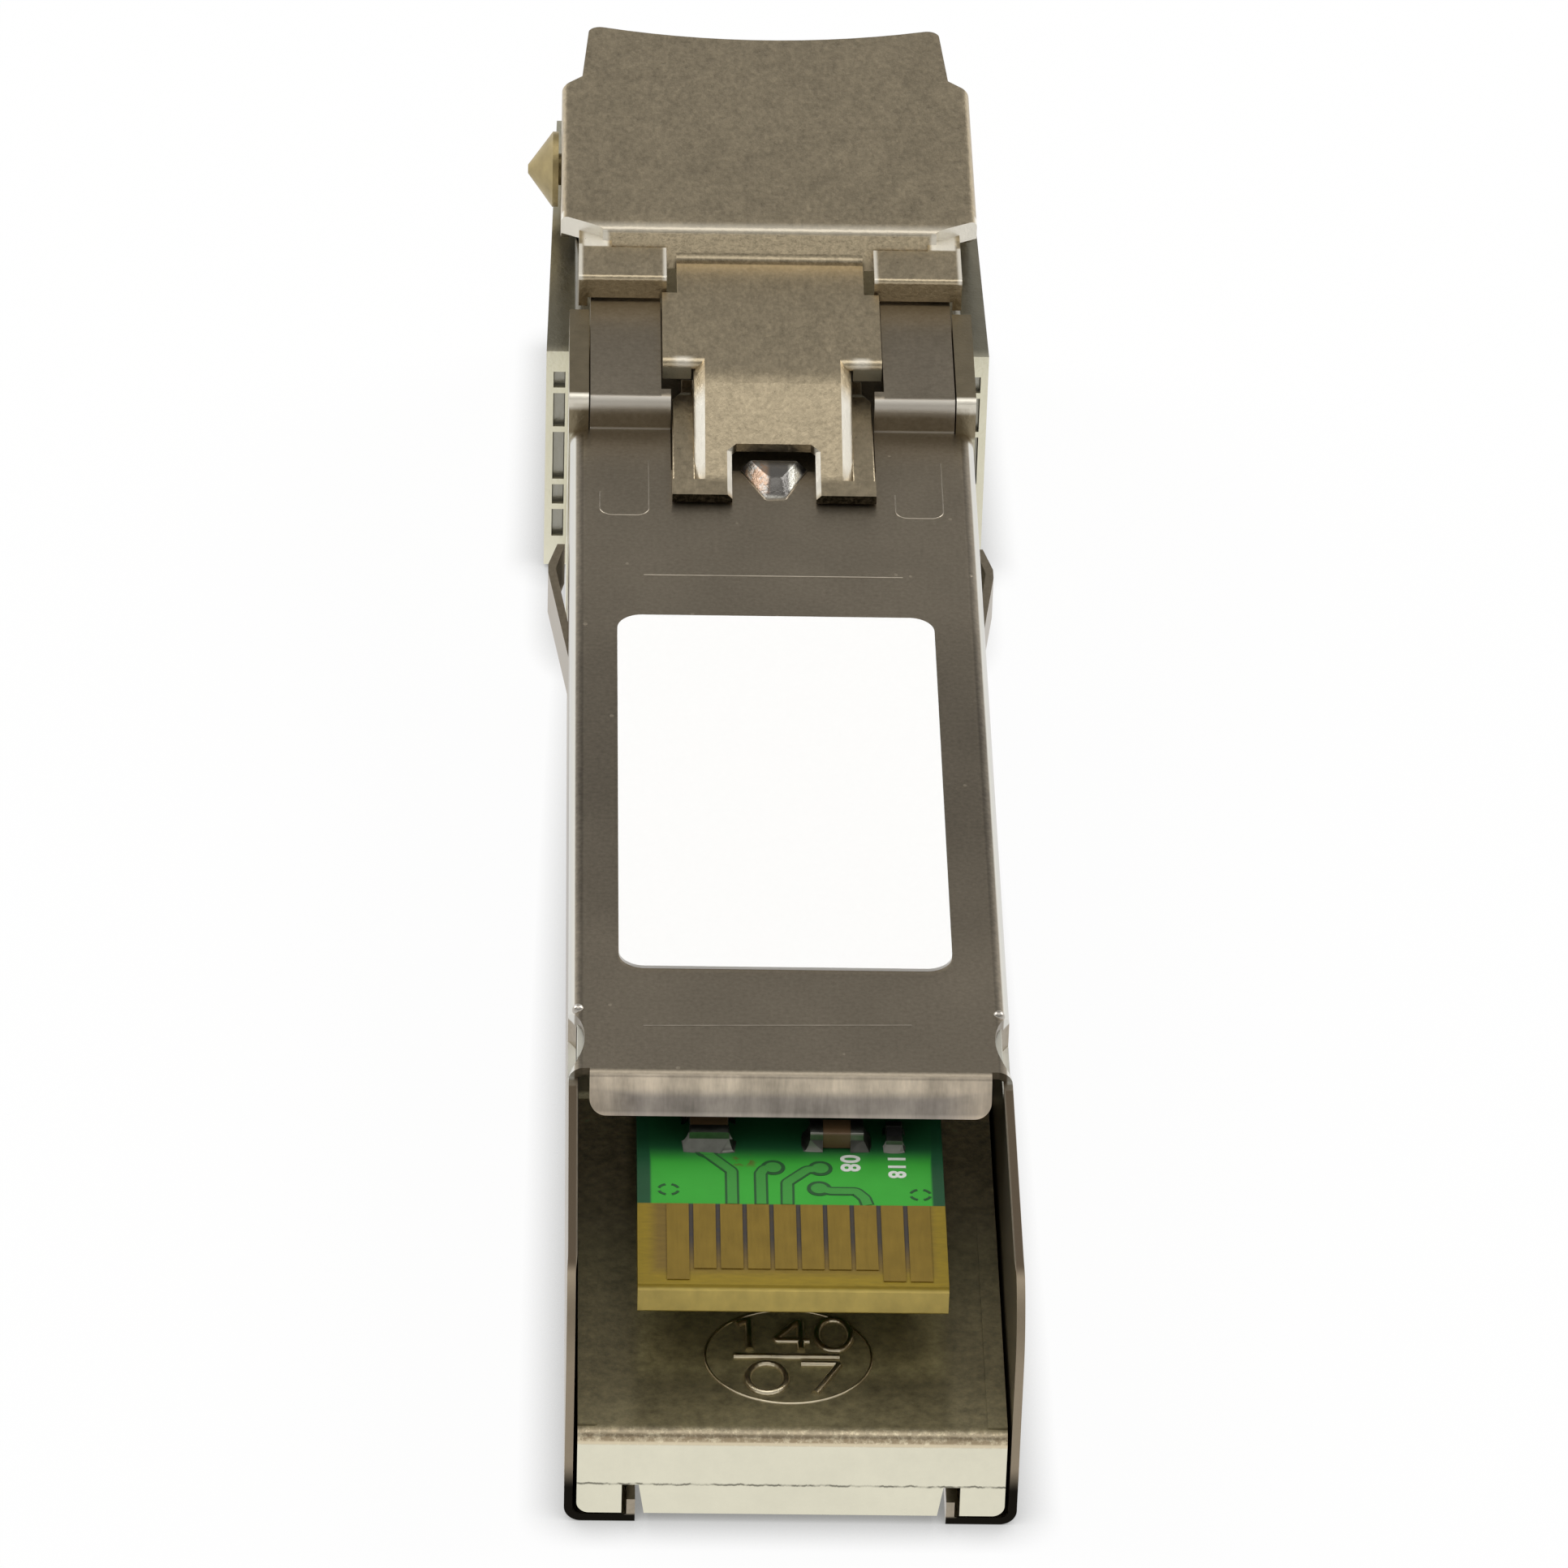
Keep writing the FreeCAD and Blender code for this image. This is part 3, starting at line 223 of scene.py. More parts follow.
def plated_sheet():
    """Satin nickel on the stamped sleeve, with its lip, latch boss, stop step and cut edges."""
    nickel, bend_highlight_tint = (0.328, 0.282, 0.216), (0.66, 0.65, 0.605)
    lip_low, lip_highlight_tint = (0.6, 0.535, 0.48), (1.1, 0.95, 0.76)
    boss_grey, boss_copper_reflection = (0.32, 0.305, 0.28), (0.34, 0.22, 0.145)
    boss_facet_shade, boss_glint = (0.13, 0.122, 0.112), (0.72, 0.705, 0.64)
    step_highlight_tint, notch_pale = (0.58, 0.54, 0.475), (0.62, 0.61, 0.55)
    cut_brown, cut_lit, rear_black = (0.13, 0.1, 0.068), (0.36, 0.3, 0.22), (0.012, 0.01, 0.007)

    f = new_finish("plated_sheet")
    point, x, y, z = f.place()
    side = abs(x)
    across, along, up = f.facing()
    sideways = abs(across)
    cloud = f.noise(point, 0.3, 3.0)
    grain = f.noise(point, 7.0, 3.0, 0.65)
    drawn = f.noise(f.stretched(point, (9.0, 0.25, 9.0)), 1.0, 2.0)
    streak = f.noise(f.stretched(point, (1.1, 0.2, 0.2)), 1.0, 5.0, 0.75)
    blotch = f.noise(point, 0.55, 4.0, 0.6)
    dust = f.under(f.specks(point, 0.75), 0.035, 0.06)

    # The cover, with painted shade on the inner half of its long bends and a painted highlight on
    # their outer half
    edge = f.step(z, -0.5, -0.42) * f.within(y, -34.0, 2.2, 0.1)
    bend_painted_shade = edge * f.within(side, 6.26, 6.5, 0.04)
    bend_painted_highlight = edge * f.step(side, 6.48, 6.54)
    # Darker 11 to 25 mm behind the latch, a little lighter from 9 mm behind it up to the stop step,
    # and lighter on the plates past the step
    tone_along_length = (f.within(y, -25.0, -11.0, 5.0) * 0.22 - f.within(y, -9.0, 1.0, 2.0) * 0.06
               - f.step(y, 1.5, 2.5) * 0.07)
    light = (1.0 + cloud.swing(0.14) + grain.swing(0.55) + drawn.swing(0.06) + dust * 0.35
             - tone_along_length - bend_painted_shade * 0.3)
    satin = f.blend(bend_painted_highlight, f.shade(nickel, light), bend_highlight_tint)

    # The latch boss, with painted reflections on its facets: blotchy grey and copper at the left,
    # painted shade in the middle, painted glints at the right and at the tip, and painted shadow
    # over its far end under the ramp
    boss = f.step(z, 0.02, 0.08) * f.within(y, -2.1, 0.5, 0.1) * f.under(side, 1.3, 1.4)
    boss_reflection_blotches = f.blend(f.step(blotch + grain * 0.4, 0.6, 0.75), boss_grey, boss_copper_reflection)
    glint = f.step(x, 0.42, 0.6) * f.within(y, -1.3, -0.3, 0.12)
    glint = glint.most(f.under(y, -1.75, -1.6) * 0.8)
    boss_painted_facets = f.blend(f.step(x, -0.3, -0.1), boss_reflection_blotches, boss_facet_shade)
    boss_painted_facets = f.blend(glint, boss_painted_facets, boss_glint)
    boss_painted_facets = f.shade(boss_painted_facets, 1.0 - f.step(y, -0.5, -0.1) * 0.8)
    colour = f.blend(boss, satin, boss_painted_facets)

    # The lip over the opening: streaked and blotched, with painted highlights on its top band, its
    # ends and its lower rim
    lip = f.within(y, -34.7, -33.95, 0.05) * f.step(-z, 0.04, 0.1) * f.under(side, 6.05, 6.15)
    lip_top = f.step(z, -0.75, -0.4)
    lip_end = f.step(side, 4.4, 6.0)
    lip_rim = f.under(z, -1.2, -1.08)
    lighter_tint = f.blend(lip_top.most(lip_end * 0.8), lip_low, lip_highlight_tint)
    lip_streaked_and_lit = f.shade(lighter_tint, 0.17 + lip_rim * 0.22 + streak * 0.82 + blotch.swing(0.9))
    colour = f.blend(lip, colour, lip_streaked_and_lit)

    # The stop step, with a painted highlight on the upper part of its face and along its foot, and
    # the round notches with their cut faces pale
    step_face = f.within(y, 2.1, 2.9, 0.1) * f.under(up, 0.85, 0.95) * f.under(sideways, 0.5, 0.7)
    step_painted_highlight = step_face * f.step(z, 0.5, 1.1).most(f.within(z, 0.0, 0.08, 0.04) * 0.8)
    notch = f.within(y, -33.8, -30.4, 0.1) * f.step(side, 6.42, 6.46) * f.within(z, -2.2, -0.3, 0.1)
    notch_cut = notch * f.under(sideways, 0.5, 0.7)
    colour = f.blend(step_painted_highlight, colour, step_highlight_tint)
    colour = f.blend(notch_cut, colour, notch_pale)

    # The cut edges round the tail, darkened except at the hook ends: near black at the rear end,
    # brown along the sides, with a painted lighter brown where they face the rear
    tail = f.under(y, -34.4, -34.2)
    cut_edge = (f.under(sideways, 0.4, 0.7) * f.step(side, 6.42, 6.46) * tail
                * f.step(z, -8.3, -8.2))
    rear_edge = f.under(y, REAR + 0.02, REAR + 0.05) * f.under(z, -7.3, -6.3)
    hook_end = f.under(side, 4.85, 4.95) * f.step(z, -8.3, -8.2)
    dark = cut_edge.most(rear_edge) * (1.0 - hook_end)
    cut_tint = f.blend(f.step(-along, 0.15, 0.4), cut_brown, cut_lit)
    colour = f.blend(dark, colour, f.blend(rear_edge, cut_tint, rear_black))

    rough = 0.33 + grain.swing(0.1) + cloud.swing(0.08) + dark * 0.35 + lip * 0.06 - boss * 0.17
    metal = 1.0 - step_painted_highlight * 0.85 - boss * 0.5 - notch_cut * 0.85
    height = grain * 0.6 + drawn * 0.4 + dust * 1.5 + lip * streak + boss * grain * 3.0
    return f.done(colour, rough, metal, f.bump(height, 0.2, 0.03))


def lever_sheet():
    """Coarse-grained satin nickel on the lever, with painted highlights along its folds and rims
    and painted shade in its creases.
    """
    nickel, fold_highlight_tint, ear_face_light_tint = (0.53, 0.443, 0.303), (0.88, 0.84, 0.74), (0.26, 0.235, 0.17)

    f = new_finish("lever_sheet")
    point, x, y, z = f.place()
    side = abs(x)
    across, along, up = f.facing()
    sideways = abs(across)
    rolled = f.stretched(point, (1.0, 0.56, 1.0))
    cloud = f.noise(point, 0.45, 3.0)
    grain = f.noise(rolled, 7.0, 3.0, 0.7)
    pits = f.noise(rolled, 1.8, 4.0, 0.72)

    # The ramp and its feet
    ramp_side = (f.within(y, -1.2, 3.6, 0.3) * f.within(sideways, 0.35, 0.9, 0.1)
                 * f.step(up, 0.2, 0.4))
    ramp_rim = ramp_side * f.within(side, 2.24, 2.58, 0.05) * f.within(y, -0.8, 2.8, 0.6)
    ramp_foot = ramp_side * f.step(side, 2.56, 2.62)
    notch_rim = (f.within(y, -1.9, 0.4, 0.25) * f.within(side, 1.34, 1.58, 0.04)
                 * f.within(sideways, 0.3, 0.9, 0.1))
    foot_end = f.within(y, -2.1, -2.02, 0.01) * f.step(-along, 0.6, 0.8)

    # The neck's ears and the folded tabs
    ear_rim = f.within(side, 2.7, 3.25, 0.2) * f.within(y, 4.25, 4.6, 0.1) * f.step(z, 1.25, 1.4)
    ear_face = (f.within(y, 4.2, 4.36, 0.02) * f.within(side, 2.7, 3.66, 0.02)
                * f.under(z, 1.3, 1.42))
    tab_ends = f.under(side, 3.55, 3.68).most(f.step(side, 6.26, 6.38))
    tab_rim = (tab_ends * f.within(y, 8.8, 11.0, 0.05) * f.within(z, 1.95, 2.2, 0.03)
               * f.step(side, 3.4, 3.45))
    inner_fold = f.within(y, 10.6, 10.92, 0.05) * f.under(z, 1.7, 1.8) * f.under(side, 3.1, 3.3)

    # The finger pad
    pad_rim = f.step(z, 2.3, 2.4) * f.under(y, 11.55, 11.95) * 0.42
    pad_wall = f.within(y, 10.95, 11.55, 0.1) * f.within(z, 1.7, 2.35, 0.05)
    pad_corner = (f.within(y, 11.2, 12.6, 0.1) * f.step(side, 5.5, 5.8)
                  * f.step(sideways - along, 0.5, 0.9))
    gusset = (f.within(side, 5.45, 6.3, 0.08) * f.within(y, 10.85, 11.9, 0.06)
              * f.within(z, 2.0, 2.42, 0.03))
    pad_front = f.step(y, 11.8, 12.5)

    # Painted highlights on the rims of the ramp and its notch, the pad's corners and near edge, the
    # gussets, the tabs' rims and the ears' rims
    painted_highlights = ramp_rim.most(notch_rim).most(pad_corner).most(gusset * 0.85)
    painted_highlights = painted_highlights.most(tab_rim * 0.8).most(ear_rim * 0.6).most(pad_rim)
    mottle = cloud.swing(0.16) + grain.swing(0.65 + pad_wall * 0.6) + pits.swing(0.26)
    # Painted shade in the inner fold, at the foot of the ramp's sides and on the feet's front ends;
    # the pad a little darker
    shaded = inner_fold * 0.65 + ramp_foot * 0.7 + foot_end * 0.9 + pad_front * 0.1
    light = (1.0 + mottle - shaded).most(0.05)
    colour = f.blend(painted_highlights, f.shade(nickel, light), fold_highlight_tint)
    # The ears' front faces painted lighter and less metallic, as if lit
    colour = f.blend(ear_face, colour, ear_face_light_tint)
    rough = 0.32 + grain.swing(0.16) + pits.swing(0.1)
    metal = 1.0 - painted_highlights * 0.75 - ear_face * 0.75
    return f.done(colour, rough, metal, f.bump(grain * 0.7 + pits * 0.4, 0.4, 0.05))


def cast_zinc():
    """Plated zinc: pale outside, dark on the tail's floor, torn at the rear face's parting line."""
    plate, slot_shade_tint = (0.745, 0.715, 0.57), (0.34, 0.33, 0.29)
    strip_tint, strip_end_highlight_tint = (0.3, 0.25, 0.165), (0.95, 0.9, 0.78)
    floor_open, floor_painted_light_under_board = (0.172, 0.148, 0.077), (0.4, 0.35, 0.175)
    floor_near_wall, floor_painted_light_inside = (0.225, 0.195, 0.108), (0.9, 0.75, 0.48)
    bevel_dull, bevel_specks_and_highlights = (0.44, 0.35, 0.23), (0.8, 0.7, 0.5)
    gap_dark, pocket_dark = (0.05, 0.042, 0.03), (0.13, 0.108, 0.072)

    f = new_finish("cast_zinc")
    point, x, y, z = f.place()
    side = abs(x)
    cloud = f.noise(point, 0.6, 3.0)
    mottle = f.noise(point, 2.6, 5.0, 0.7)
    grain = f.noise(point, 9.0, 2.0)
    specks = f.noise(point, 5.0, 3.0, 0.75)

    # The parting line
    rear = f.under(y, REAR + 0.05, REAR + 0.12)
    wander = f.noise(f.stretched(point, (1.6, 0.0, 0.0)), 1.0, 4.0, 0.75)
    torn = f.noise(f.stretched(point, (2.2, 0.0, 0.7)), 1.3, 3.0)
    line = abs(z + 7.12 - wander.swing(0.25))
    parting = f.under(line, 0.012, 0.05) * rear * (0.35 + f.step(torn, 0.35, 0.55) * 0.65)

    # The tail's floor, painted lighter under the board and, beside it, far in under the cover, and
    # the bevel at its end: speckled, with painted highlights along both its edges
    floor = f.within(y, REAR + 0.1, -28.2, 0.05) * f.within(z, -5.33, -5.05, 0.03)
    under_board = f.step(y, -42.7, -41.5) * f.under(side, 4.2, 5.0)
    deep = f.step(y, -36.5, -29.0)
    middle_tint = f.blend(under_board, floor_open, floor_painted_light_under_board)
    wall_tint = f.blend(deep, floor_near_wall, floor_painted_light_inside)
    floor_tint = f.blend(f.step(side, 4.4, 5.0), middle_tint, wall_tint)
    bevel = (f.within(z, -5.66, -5.28, 0.04) * f.under(y, REAR + 0.4, REAR + 0.48)
             * f.step(y, REAR - 0.1, REAR + 0.02))
    # Painted highlights along the bevel's two edges, and lighter specks over it
    bevel_edge_highlights = f.within(z, -5.66, -5.55, 0.03).most(f.within(z, -5.36, -5.28, 0.03) * 0.6)
    lighter_tint = f.blend(f.step(specks, 0.4, 0.7).most(bevel_edge_highlights * 0.7), bevel_dull, bevel_specks_and_highlights)

    # The nose: its strips, slots, lever pocket and hinge gaps
    strips = f.step(z, -0.3, -0.1) * f.within(y, 1.7, 10.9, 0.2)
    # Painted highlights on the strips' rear ends, pale and less metallic
    strip_end_highlights = f.within(y, 1.5, 2.75, 0.1) * f.within(z, 0.8, 1.4, 0.12) * f.step(side, 6.0, 6.1)
    # Painted shade in the nose's side slots, a mid grey
    slots = (f.within(y, 9.5, 11.5, 0.05) * f.within(side, 6.83, 7.27, 0.01)
             * f.within(z, -8.8, -1.8, 0.05))
    pocket = f.within(y, -2.6, 10.6, 0.1) * f.under(side, 3.9, 4.0) * f.within(z, -3.0, 1.5, 0.05)
    hinge_gap = f.within(y, 9.6, 17.5, 0.4) * f.step(side, 6.2, 6.35) * f.step(z, -2.2, -0.6)
    shaded = pocket.most(hinge_gap * 0.8)

    base = f.blend(floor, plate, floor_tint)
    base = f.blend(slots, base, slot_shade_tint)
    base = f.blend(strips, base, strip_tint)
    base = f.blend(strip_end_highlights, base, strip_end_highlight_tint)
    light = (0.98 + cloud.swing(0.14) + mottle.swing(0.14 + floor * 1.3)
             + specks.swing(floor) * 0.8 - parting * 0.6)
    colour = f.shade(f.blend(bevel, base, lighter_tint), light)
    # Painted shade in the lever's pocket, and darker painted shade in the hinge gaps
    colour = f.blend(shaded, colour, f.blend(pocket, gap_dark, pocket_dark))
    rough = 0.34 + mottle.swing(0.2) + parting * 0.3 + floor * 0.1
    metal = 1.0 - floor * (0.6 + deep * 0.35) - pocket * 0.6 - strip_end_highlights * 0.5
    height = mottle * 0.6 + grain * 0.4 + bevel * specks * 0.6 - parting
    return f.done(colour, rough, metal, f.bump(height, 0.35, 0.05))


def label_film():
    """Blank white film with a faint fibre."""
    f = new_finish("label_film")
    fibre = f.noise(f.point(), 6.0, 2.0)
    colour = f.shade((0.95, 0.95, 0.95), 0.99 + fibre.swing(0.02))
    return f.done(colour, 0.6 + fibre.swing(0.1), 0.0, f.bump(fibre, 0.08, 0.02))


def brass_pin():
    """Dull brass on the pivot pin."""
    f = new_finish("brass_pin")
    point = f.point()
    cloud = f.noise(point, 1.6, 3.0)
    grain = f.noise(point, 10.0, 2.0)
    colour = f.shade((0.42, 0.335, 0.165), 0.9 + cloud.swing(0.6))
    return f.done(colour, 0.42 + grain.swing(0.15), 0.75, f.bump(grain, 0.2, 0.03))


def board_laminate():
    """Green mask over copper, then bare laminate that darkens in the gaps between the contacts."""
    mask_green, border_and_lip_shadow_green = (0.04, 0.352, 0.036), (0.012, 0.075, 0.03)
    stain_brown, gap_dark = (0.12, 0.08, 0.02), (0.035, 0.032, 0.035)
    resin, pale_resin, cut_glass = (0.17, 0.108, 0.016), (0.25, 0.172, 0.008), (0.56, 0.43, 0.115)

    f = new_finish("board_laminate")
    point, x, y, _ = f.place()
    cloud = f.noise(point, 1.1, 3.0)
    weave = f.noise(f.stretched(point, (1.6, 5.0, 1.0)), 1.6, 3.0)
    blots = f.noise(point, 3.2, 3.0, 0.6)

    # Dark green at both sides, where no copper lies under the mask; the band along the lip's edge
    # is painted shadow in the same dark green
    border_and_lip_shadow = f.step(abs(x - 0.02), 4.16, 4.26).most(f.step(y, -35.7, -34.7) * 0.95)
    from_stain = abs(x + 1.38).most(abs(y + 35.4))
    stain = f.under(from_stain, 0.15, 0.45) * f.step(blots, 0.5, 0.6)
    mask = f.blend(border_and_lip_shadow, mask_green, border_and_lip_shadow_green)
    mask = f.blend(stain * 0.8, mask, stain_brown)

    from_gap = (x - PAD_SHIFT).fold(PAD_PITCH / 2)
    gap = f.under(from_gap, 0.05, 0.1) * f.within(x, -3.4, 3.8, 0.02)
    gap = gap * f.step(y, SHORT_PADS_END - 0.1, SHORT_PADS_END + 1.7) * (0.65 + weave * 0.5)
    pale = f.step(abs(x), 3.9, 4.4).most(f.under(y, -41.4, -40.7))
    laminate = f.blend(pale, resin, pale_resin)
    laminate = f.blend(f.under(y, -41.78, -41.7), laminate, cut_glass)
    laminate = f.blend(gap, laminate, gap_dark)

    bare = f.under(y, MASK_EDGE - 0.03, MASK_EDGE + 0.03)
    colour = f.blend(bare, f.shade(mask, 0.9 + cloud * 0.2), f.shade(laminate, 0.72 + weave * 0.5))
    rough = 0.38 + cloud.swing(0.1) + bare * 0.15
    relief = f.bump(cloud * 0.5 + weave * 0.5, 0.12, 0.03)
    return f.done(colour, rough, 0.0, relief, **{"Specular IOR Level": 0.35})


def contact_gold():
    """Gold plate on the contacts, brown where it is thin."""
    f = new_finish("contact_gold")
    point = f.point()
    cloud = f.noise(point, 1.3, 3.0)
    grain = f.noise(f.stretched(point, (6.0, 0.6, 1.0)), 1.6, 2.0)
    colour = f.shade((0.285, 0.187, 0.026), 0.9 + cloud.swing(0.35) + grain.swing(0.2))
    return f.done(colour, 0.42 + grain.swing(0.1), 0.45, f.bump(grain, 0.12, 0.02))


def moulded(name, colour, rough, scale=5.0, depth=0.2):
    """A cloudy, fine-grained finish without metal: plastic, epoxy, ceramic, mask or print."""
    f = new_finish(name)
    point = f.point()
    cloud = f.noise(point, 0.7, 3.0)
    grain = f.noise(point, scale, 3.0)
    tint = f.shade(colour, 0.92 + cloud.swing(0.2) + grain.swing(0.1))
    return f.done(tint, rough + grain.swing(0.12), 0.0, f.bump(grain, depth, 0.03))


def tinned():
    """Dull tin on leads, end caps and solder."""
    f = new_finish("tinned")
    cloud = f.noise(f.point(), 2.5, 3.0)
    colour = f.shade((0.2, 0.205, 0.18), 0.9 + cloud.swing(0.7))
    return f.done(colour, 0.4 + cloud.swing(0.2), 1.0, f.bump(cloud, 0.25, 0.04))


def burnished(name, colour, rear_wear=0.0):
    """Plate burnished smooth on a raised mark; rear_wear dulls the marks towards the rear."""
    f = new_finish(name)
    point, _, y, _ = f.place()
    cloud = f.noise(point, 1.8, 3.0)
    grain = f.noise(point, 9.0, 2.0)
    patchy = f.noise(f.stretched(point, (0.3, 0.0, 0.0)), 1.0, 3.0, 0.7)
    dull = f.under(y, -25.0, -20.0) * (0.5 + patchy) * rear_wear
    tint = f.shade(colour, (0.85 + cloud.swing(0.6) + grain.swing(0.2)) * (1.0 - dull))
    return f.done(tint, 0.3 + grain.swing(0.1), 1.0, f.bump(grain, 0.2, 0.02))


def dress(material, *names):
    """Gives CAD nodes a finish."""
    for name in names:
        data = NODES[name].data
        data.materials.clear()
        data.materials.append(material)


class Jig:
    """A Geometry Nodes tree that makes one kind of piece, with named inputs for its sizes."""

    def __init__(self, name):
        self.tree = bpy.data.node_groups.new(name, "GeometryNodeTree")
        for way in ("INPUT", "OUTPUT"):
            self.tree.interface.new_socket("Geometry", in_out=way, socket_type="NodeSocketGeometry")
        self.entry = self.tree.nodes.new("NodeGroupInput")
        self.exit = self.tree.nodes.new("NodeGroupOutput")
        self.settings = {}

    def given(self, name, value):
        """A named input: a length in millimetres, a material or an object."""
        if isinstance(value, bpy.types.Material):
            kind, held = "NodeSocketMaterial", value
        elif isinstance(value, bpy.types.Object):
            kind, held = "NodeSocketObject", value
        else:
            kind, held = "NodeSocketFloat", value * MM
        socket = self.tree.interface.new_socket(name, in_out="INPUT", socket_type=kind)
        self.settings[socket.identifier] = held
        return self.entry.outputs[name]

    def node(self, kind, settings=None, inputs=None, out=0):
        node = self.tree.nodes.new(kind)
        for key, value in (settings or {}).items():
            setattr(node, key, value)
        for key, value in (inputs or {}).items():
            values = value if isinstance(value, list) else [value]
            for one in values:
                if isinstance(one, bpy.types.NodeSocket):
                    self.tree.links.new(one, node.inputs[key])
                else:
                    node.inputs[key].default_value = one
        return node.outputs[out]

    def scaled(self, value, factor):
        """A length times a plain number."""
        return self.node("ShaderNodeMath", {"operation": "MULTIPLY"}, {0: value, 1: factor})

    def strip(self, width, height):
        """A flat strip's profile."""
        inputs = {"Width": width, "Height": height}
        return self.node("GeometryNodeCurvePrimitiveQuadrilateral", inputs=inputs)

    def rounded(self, path, radius, count):
        """A path with its corners rounded by a number of points each."""
        inputs = {"Curve": path, "Count": count, "Radius": radius, "Limit Radius": True}
        return self.node("GeometryNodeFilletCurve", {"mode": "POLY"}, inputs)

    def swept(self, path, profile):
        """A closed bar along a path, with the profile kept upright."""
        upright = self.node("GeometryNodeSetCurveNormal", {"mode": "Z_UP"}, {"Curve": path})
        inputs = {"Curve": upright, "Profile Curve": profile, "Fill Caps": True}
        return self.node("GeometryNodeCurveToMesh", inputs=inputs)

    def finished(self, geometry, material):
        whole = self.node("GeometryNodeRealizeInstances", inputs={0: geometry})
        inputs = {"Geometry": whole, "Material": material}
        return self.node("GeometryNodeSetMaterial", inputs=inputs)

    def run(self, carrier, geometries, name):
        """Joins the geometries, works the tree out on a carrier and returns a plain mesh piece."""
        joined = self.node("GeometryNodeJoinGeometry", inputs={0: geometries})
        self.tree.links.new(joined, self.exit.inputs[0])
        thing = bpy.data.objects.new(f"{name}_carrier", carrier)
        bpy.context.scene.collection.objects.link(thing)
        modifier = thing.modifiers.new("jig", "NODES")
        modifier.node_group = self.tree
        for identifier, value in self.settings.items():
            modifier[identifier] = value
        mesh = plain_mesh(thing, name)
        thing.modifiers.remove(modifier)
        bpy.data.objects.remove(thing)
        return new_piece(name, mesh)


def close_mesh(work, mesh, sharp_angle):
    """Puts worked faces in a mesh: doubles merged, faces turned outwards, sharp above an angle."""
    bmesh.ops.remove_doubles(work, verts=work.verts, dist=MERGE_GAP * MM)
    bmesh.ops.recalc_face_normals(work, faces=work.faces)
    work.to_mesh(mesh)
    work.free()
    mesh.shade_smooth()
    mesh.set_sharp_from_angle(angle=math.radians(sharp_angle))
    return mesh


def plain_mesh(thing, name):
    """The evaluated shape of an object as a plain mesh."""
    graph = bpy.context.evaluated_depsgraph_get()
    graph.update()
    mesh = bpy.data.meshes.new_from_object(thing.evaluated_get(graph), depsgraph=graph)
    mesh.name = name
    work = bmesh.new()
    work.from_mesh(mesh)
    return close_mesh(work, mesh, PLAIN_SHARP)


def new_piece(name, mesh):
    piece = bpy.data.objects.new(name, mesh)
    bpy.context.scene.collection.objects.link(piece)
    return piece


def settle(piece, slot, *replaced, body="module"):
    """Fixes a piece to a body and hides the CAD nodes it stands for; the slot is not used."""
    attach(piece, body)
    if replaced:
        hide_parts(*replaced)


def drawn_paths(name, paths, height):
    """A curve of runs at one height; a closed run starts and ends at the same point."""
    data = bpy.data.curves.new(name, "CURVE")
    data.dimensions = "3D"
    for path in paths:
        closed = math.dist(path[0], path[-1]) < MERGE_GAP
        points = path[:-1] if closed else path
        spline = data.splines.new("POLY")
        spline.points.add(len(points) - 1)
        spline.use_cyclic_u = closed
        for point, (u, v) in zip(spline.points, points):
            point.co = (u * MM, v * MM, height * MM, 1.0)
    return data


def arc(centre, radii, start, end, steps):
    """Points along part of an ellipse, in degrees."""
    turns = [math.radians(start + (end - start) * step / steps) for step in range(steps + 1)]
    return [(centre[0] + radii[0] * math.cos(turn), centre[1] + radii[1] * math.sin(turn))
            for turn in turns]


# Each track runs from its via to the contacts
TRACKS = [
    [(-2.5, -34.95), (-2.46, -35.15), (-1.76, -36.0), (-1.76, MASK_EDGE)],
    [(-0.52, -35.8), (-0.78, -35.86), (-0.89, -36.1), (-0.89, MASK_EDGE)],
    [(0.9, -35.82), (0.5, -35.9), (-0.1, -36.55), (-0.11, MASK_EDGE)],
    [(0.85, -36.84), (1.2, -36.96), (1.95, -36.96), (2.2, -37.3), (2.28, MASK_EDGE)],
]
RELIEFS = [(-3.66, -36.95), (3.88, -37.1)]


def lay_tracks(gap_finish):
    """Copper tracks and vias under the mask, each inside a dark gap in the copper."""
    track_finish = moulded("mask_track", (0.042, 0.285, 0.04), rough=0.42, scale=6.0, depth=0.15)
    via_rise = 1.2
    jig = Jig("board_tracks")
    gap_width = jig.given("Gap Width", 0.42)
    gap_height = jig.given("Gap Height", 0.02)
    track_width = jig.given("Track Width", 0.29)
    track_height = jig.given("Track Height", 0.03)
    bend = jig.given("Bend Radius", 0.16)
    gap_via = jig.given("Via Gap Radius", 0.37)
    via = jig.given("Via Radius", 0.25)
    gap_material = jig.given("Gap Finish", gap_finish)
    track_material = jig.given("Track Finish", track_finish)
    path = jig.rounded(jig.entry.outputs[0], bend, count=5)
    starts = jig.node("GeometryNodeCurveEndpointSelection", inputs={"Start Size": 1, "End Size": 0})
    parts = []
    for width, height, radius, material in ((gap_width, gap_height, gap_via, gap_material),
                                            (track_width, track_height, via, track_material)):
        ribbon = jig.swept(path, jig.strip(width, height))
        depth = jig.scaled(height, via_rise)
        disc = jig.node("GeometryNodeMeshCylinder",
                        inputs={"Vertices": 32, "Radius": radius, "Depth": depth})
        rounds = jig.node("GeometryNodeInstanceOnPoints",
                          inputs={"Points": path, "Selection": starts, "Instance": disc})
        both = jig.node("GeometryNodeJoinGeometry", inputs={0: [ribbon, rounds]})
        parts.append(jig.finished(both, material))
    settle(jig.run(drawn_paths("tracks", TRACKS, BOARD_FACE), parts, "board_tracks"), "board")


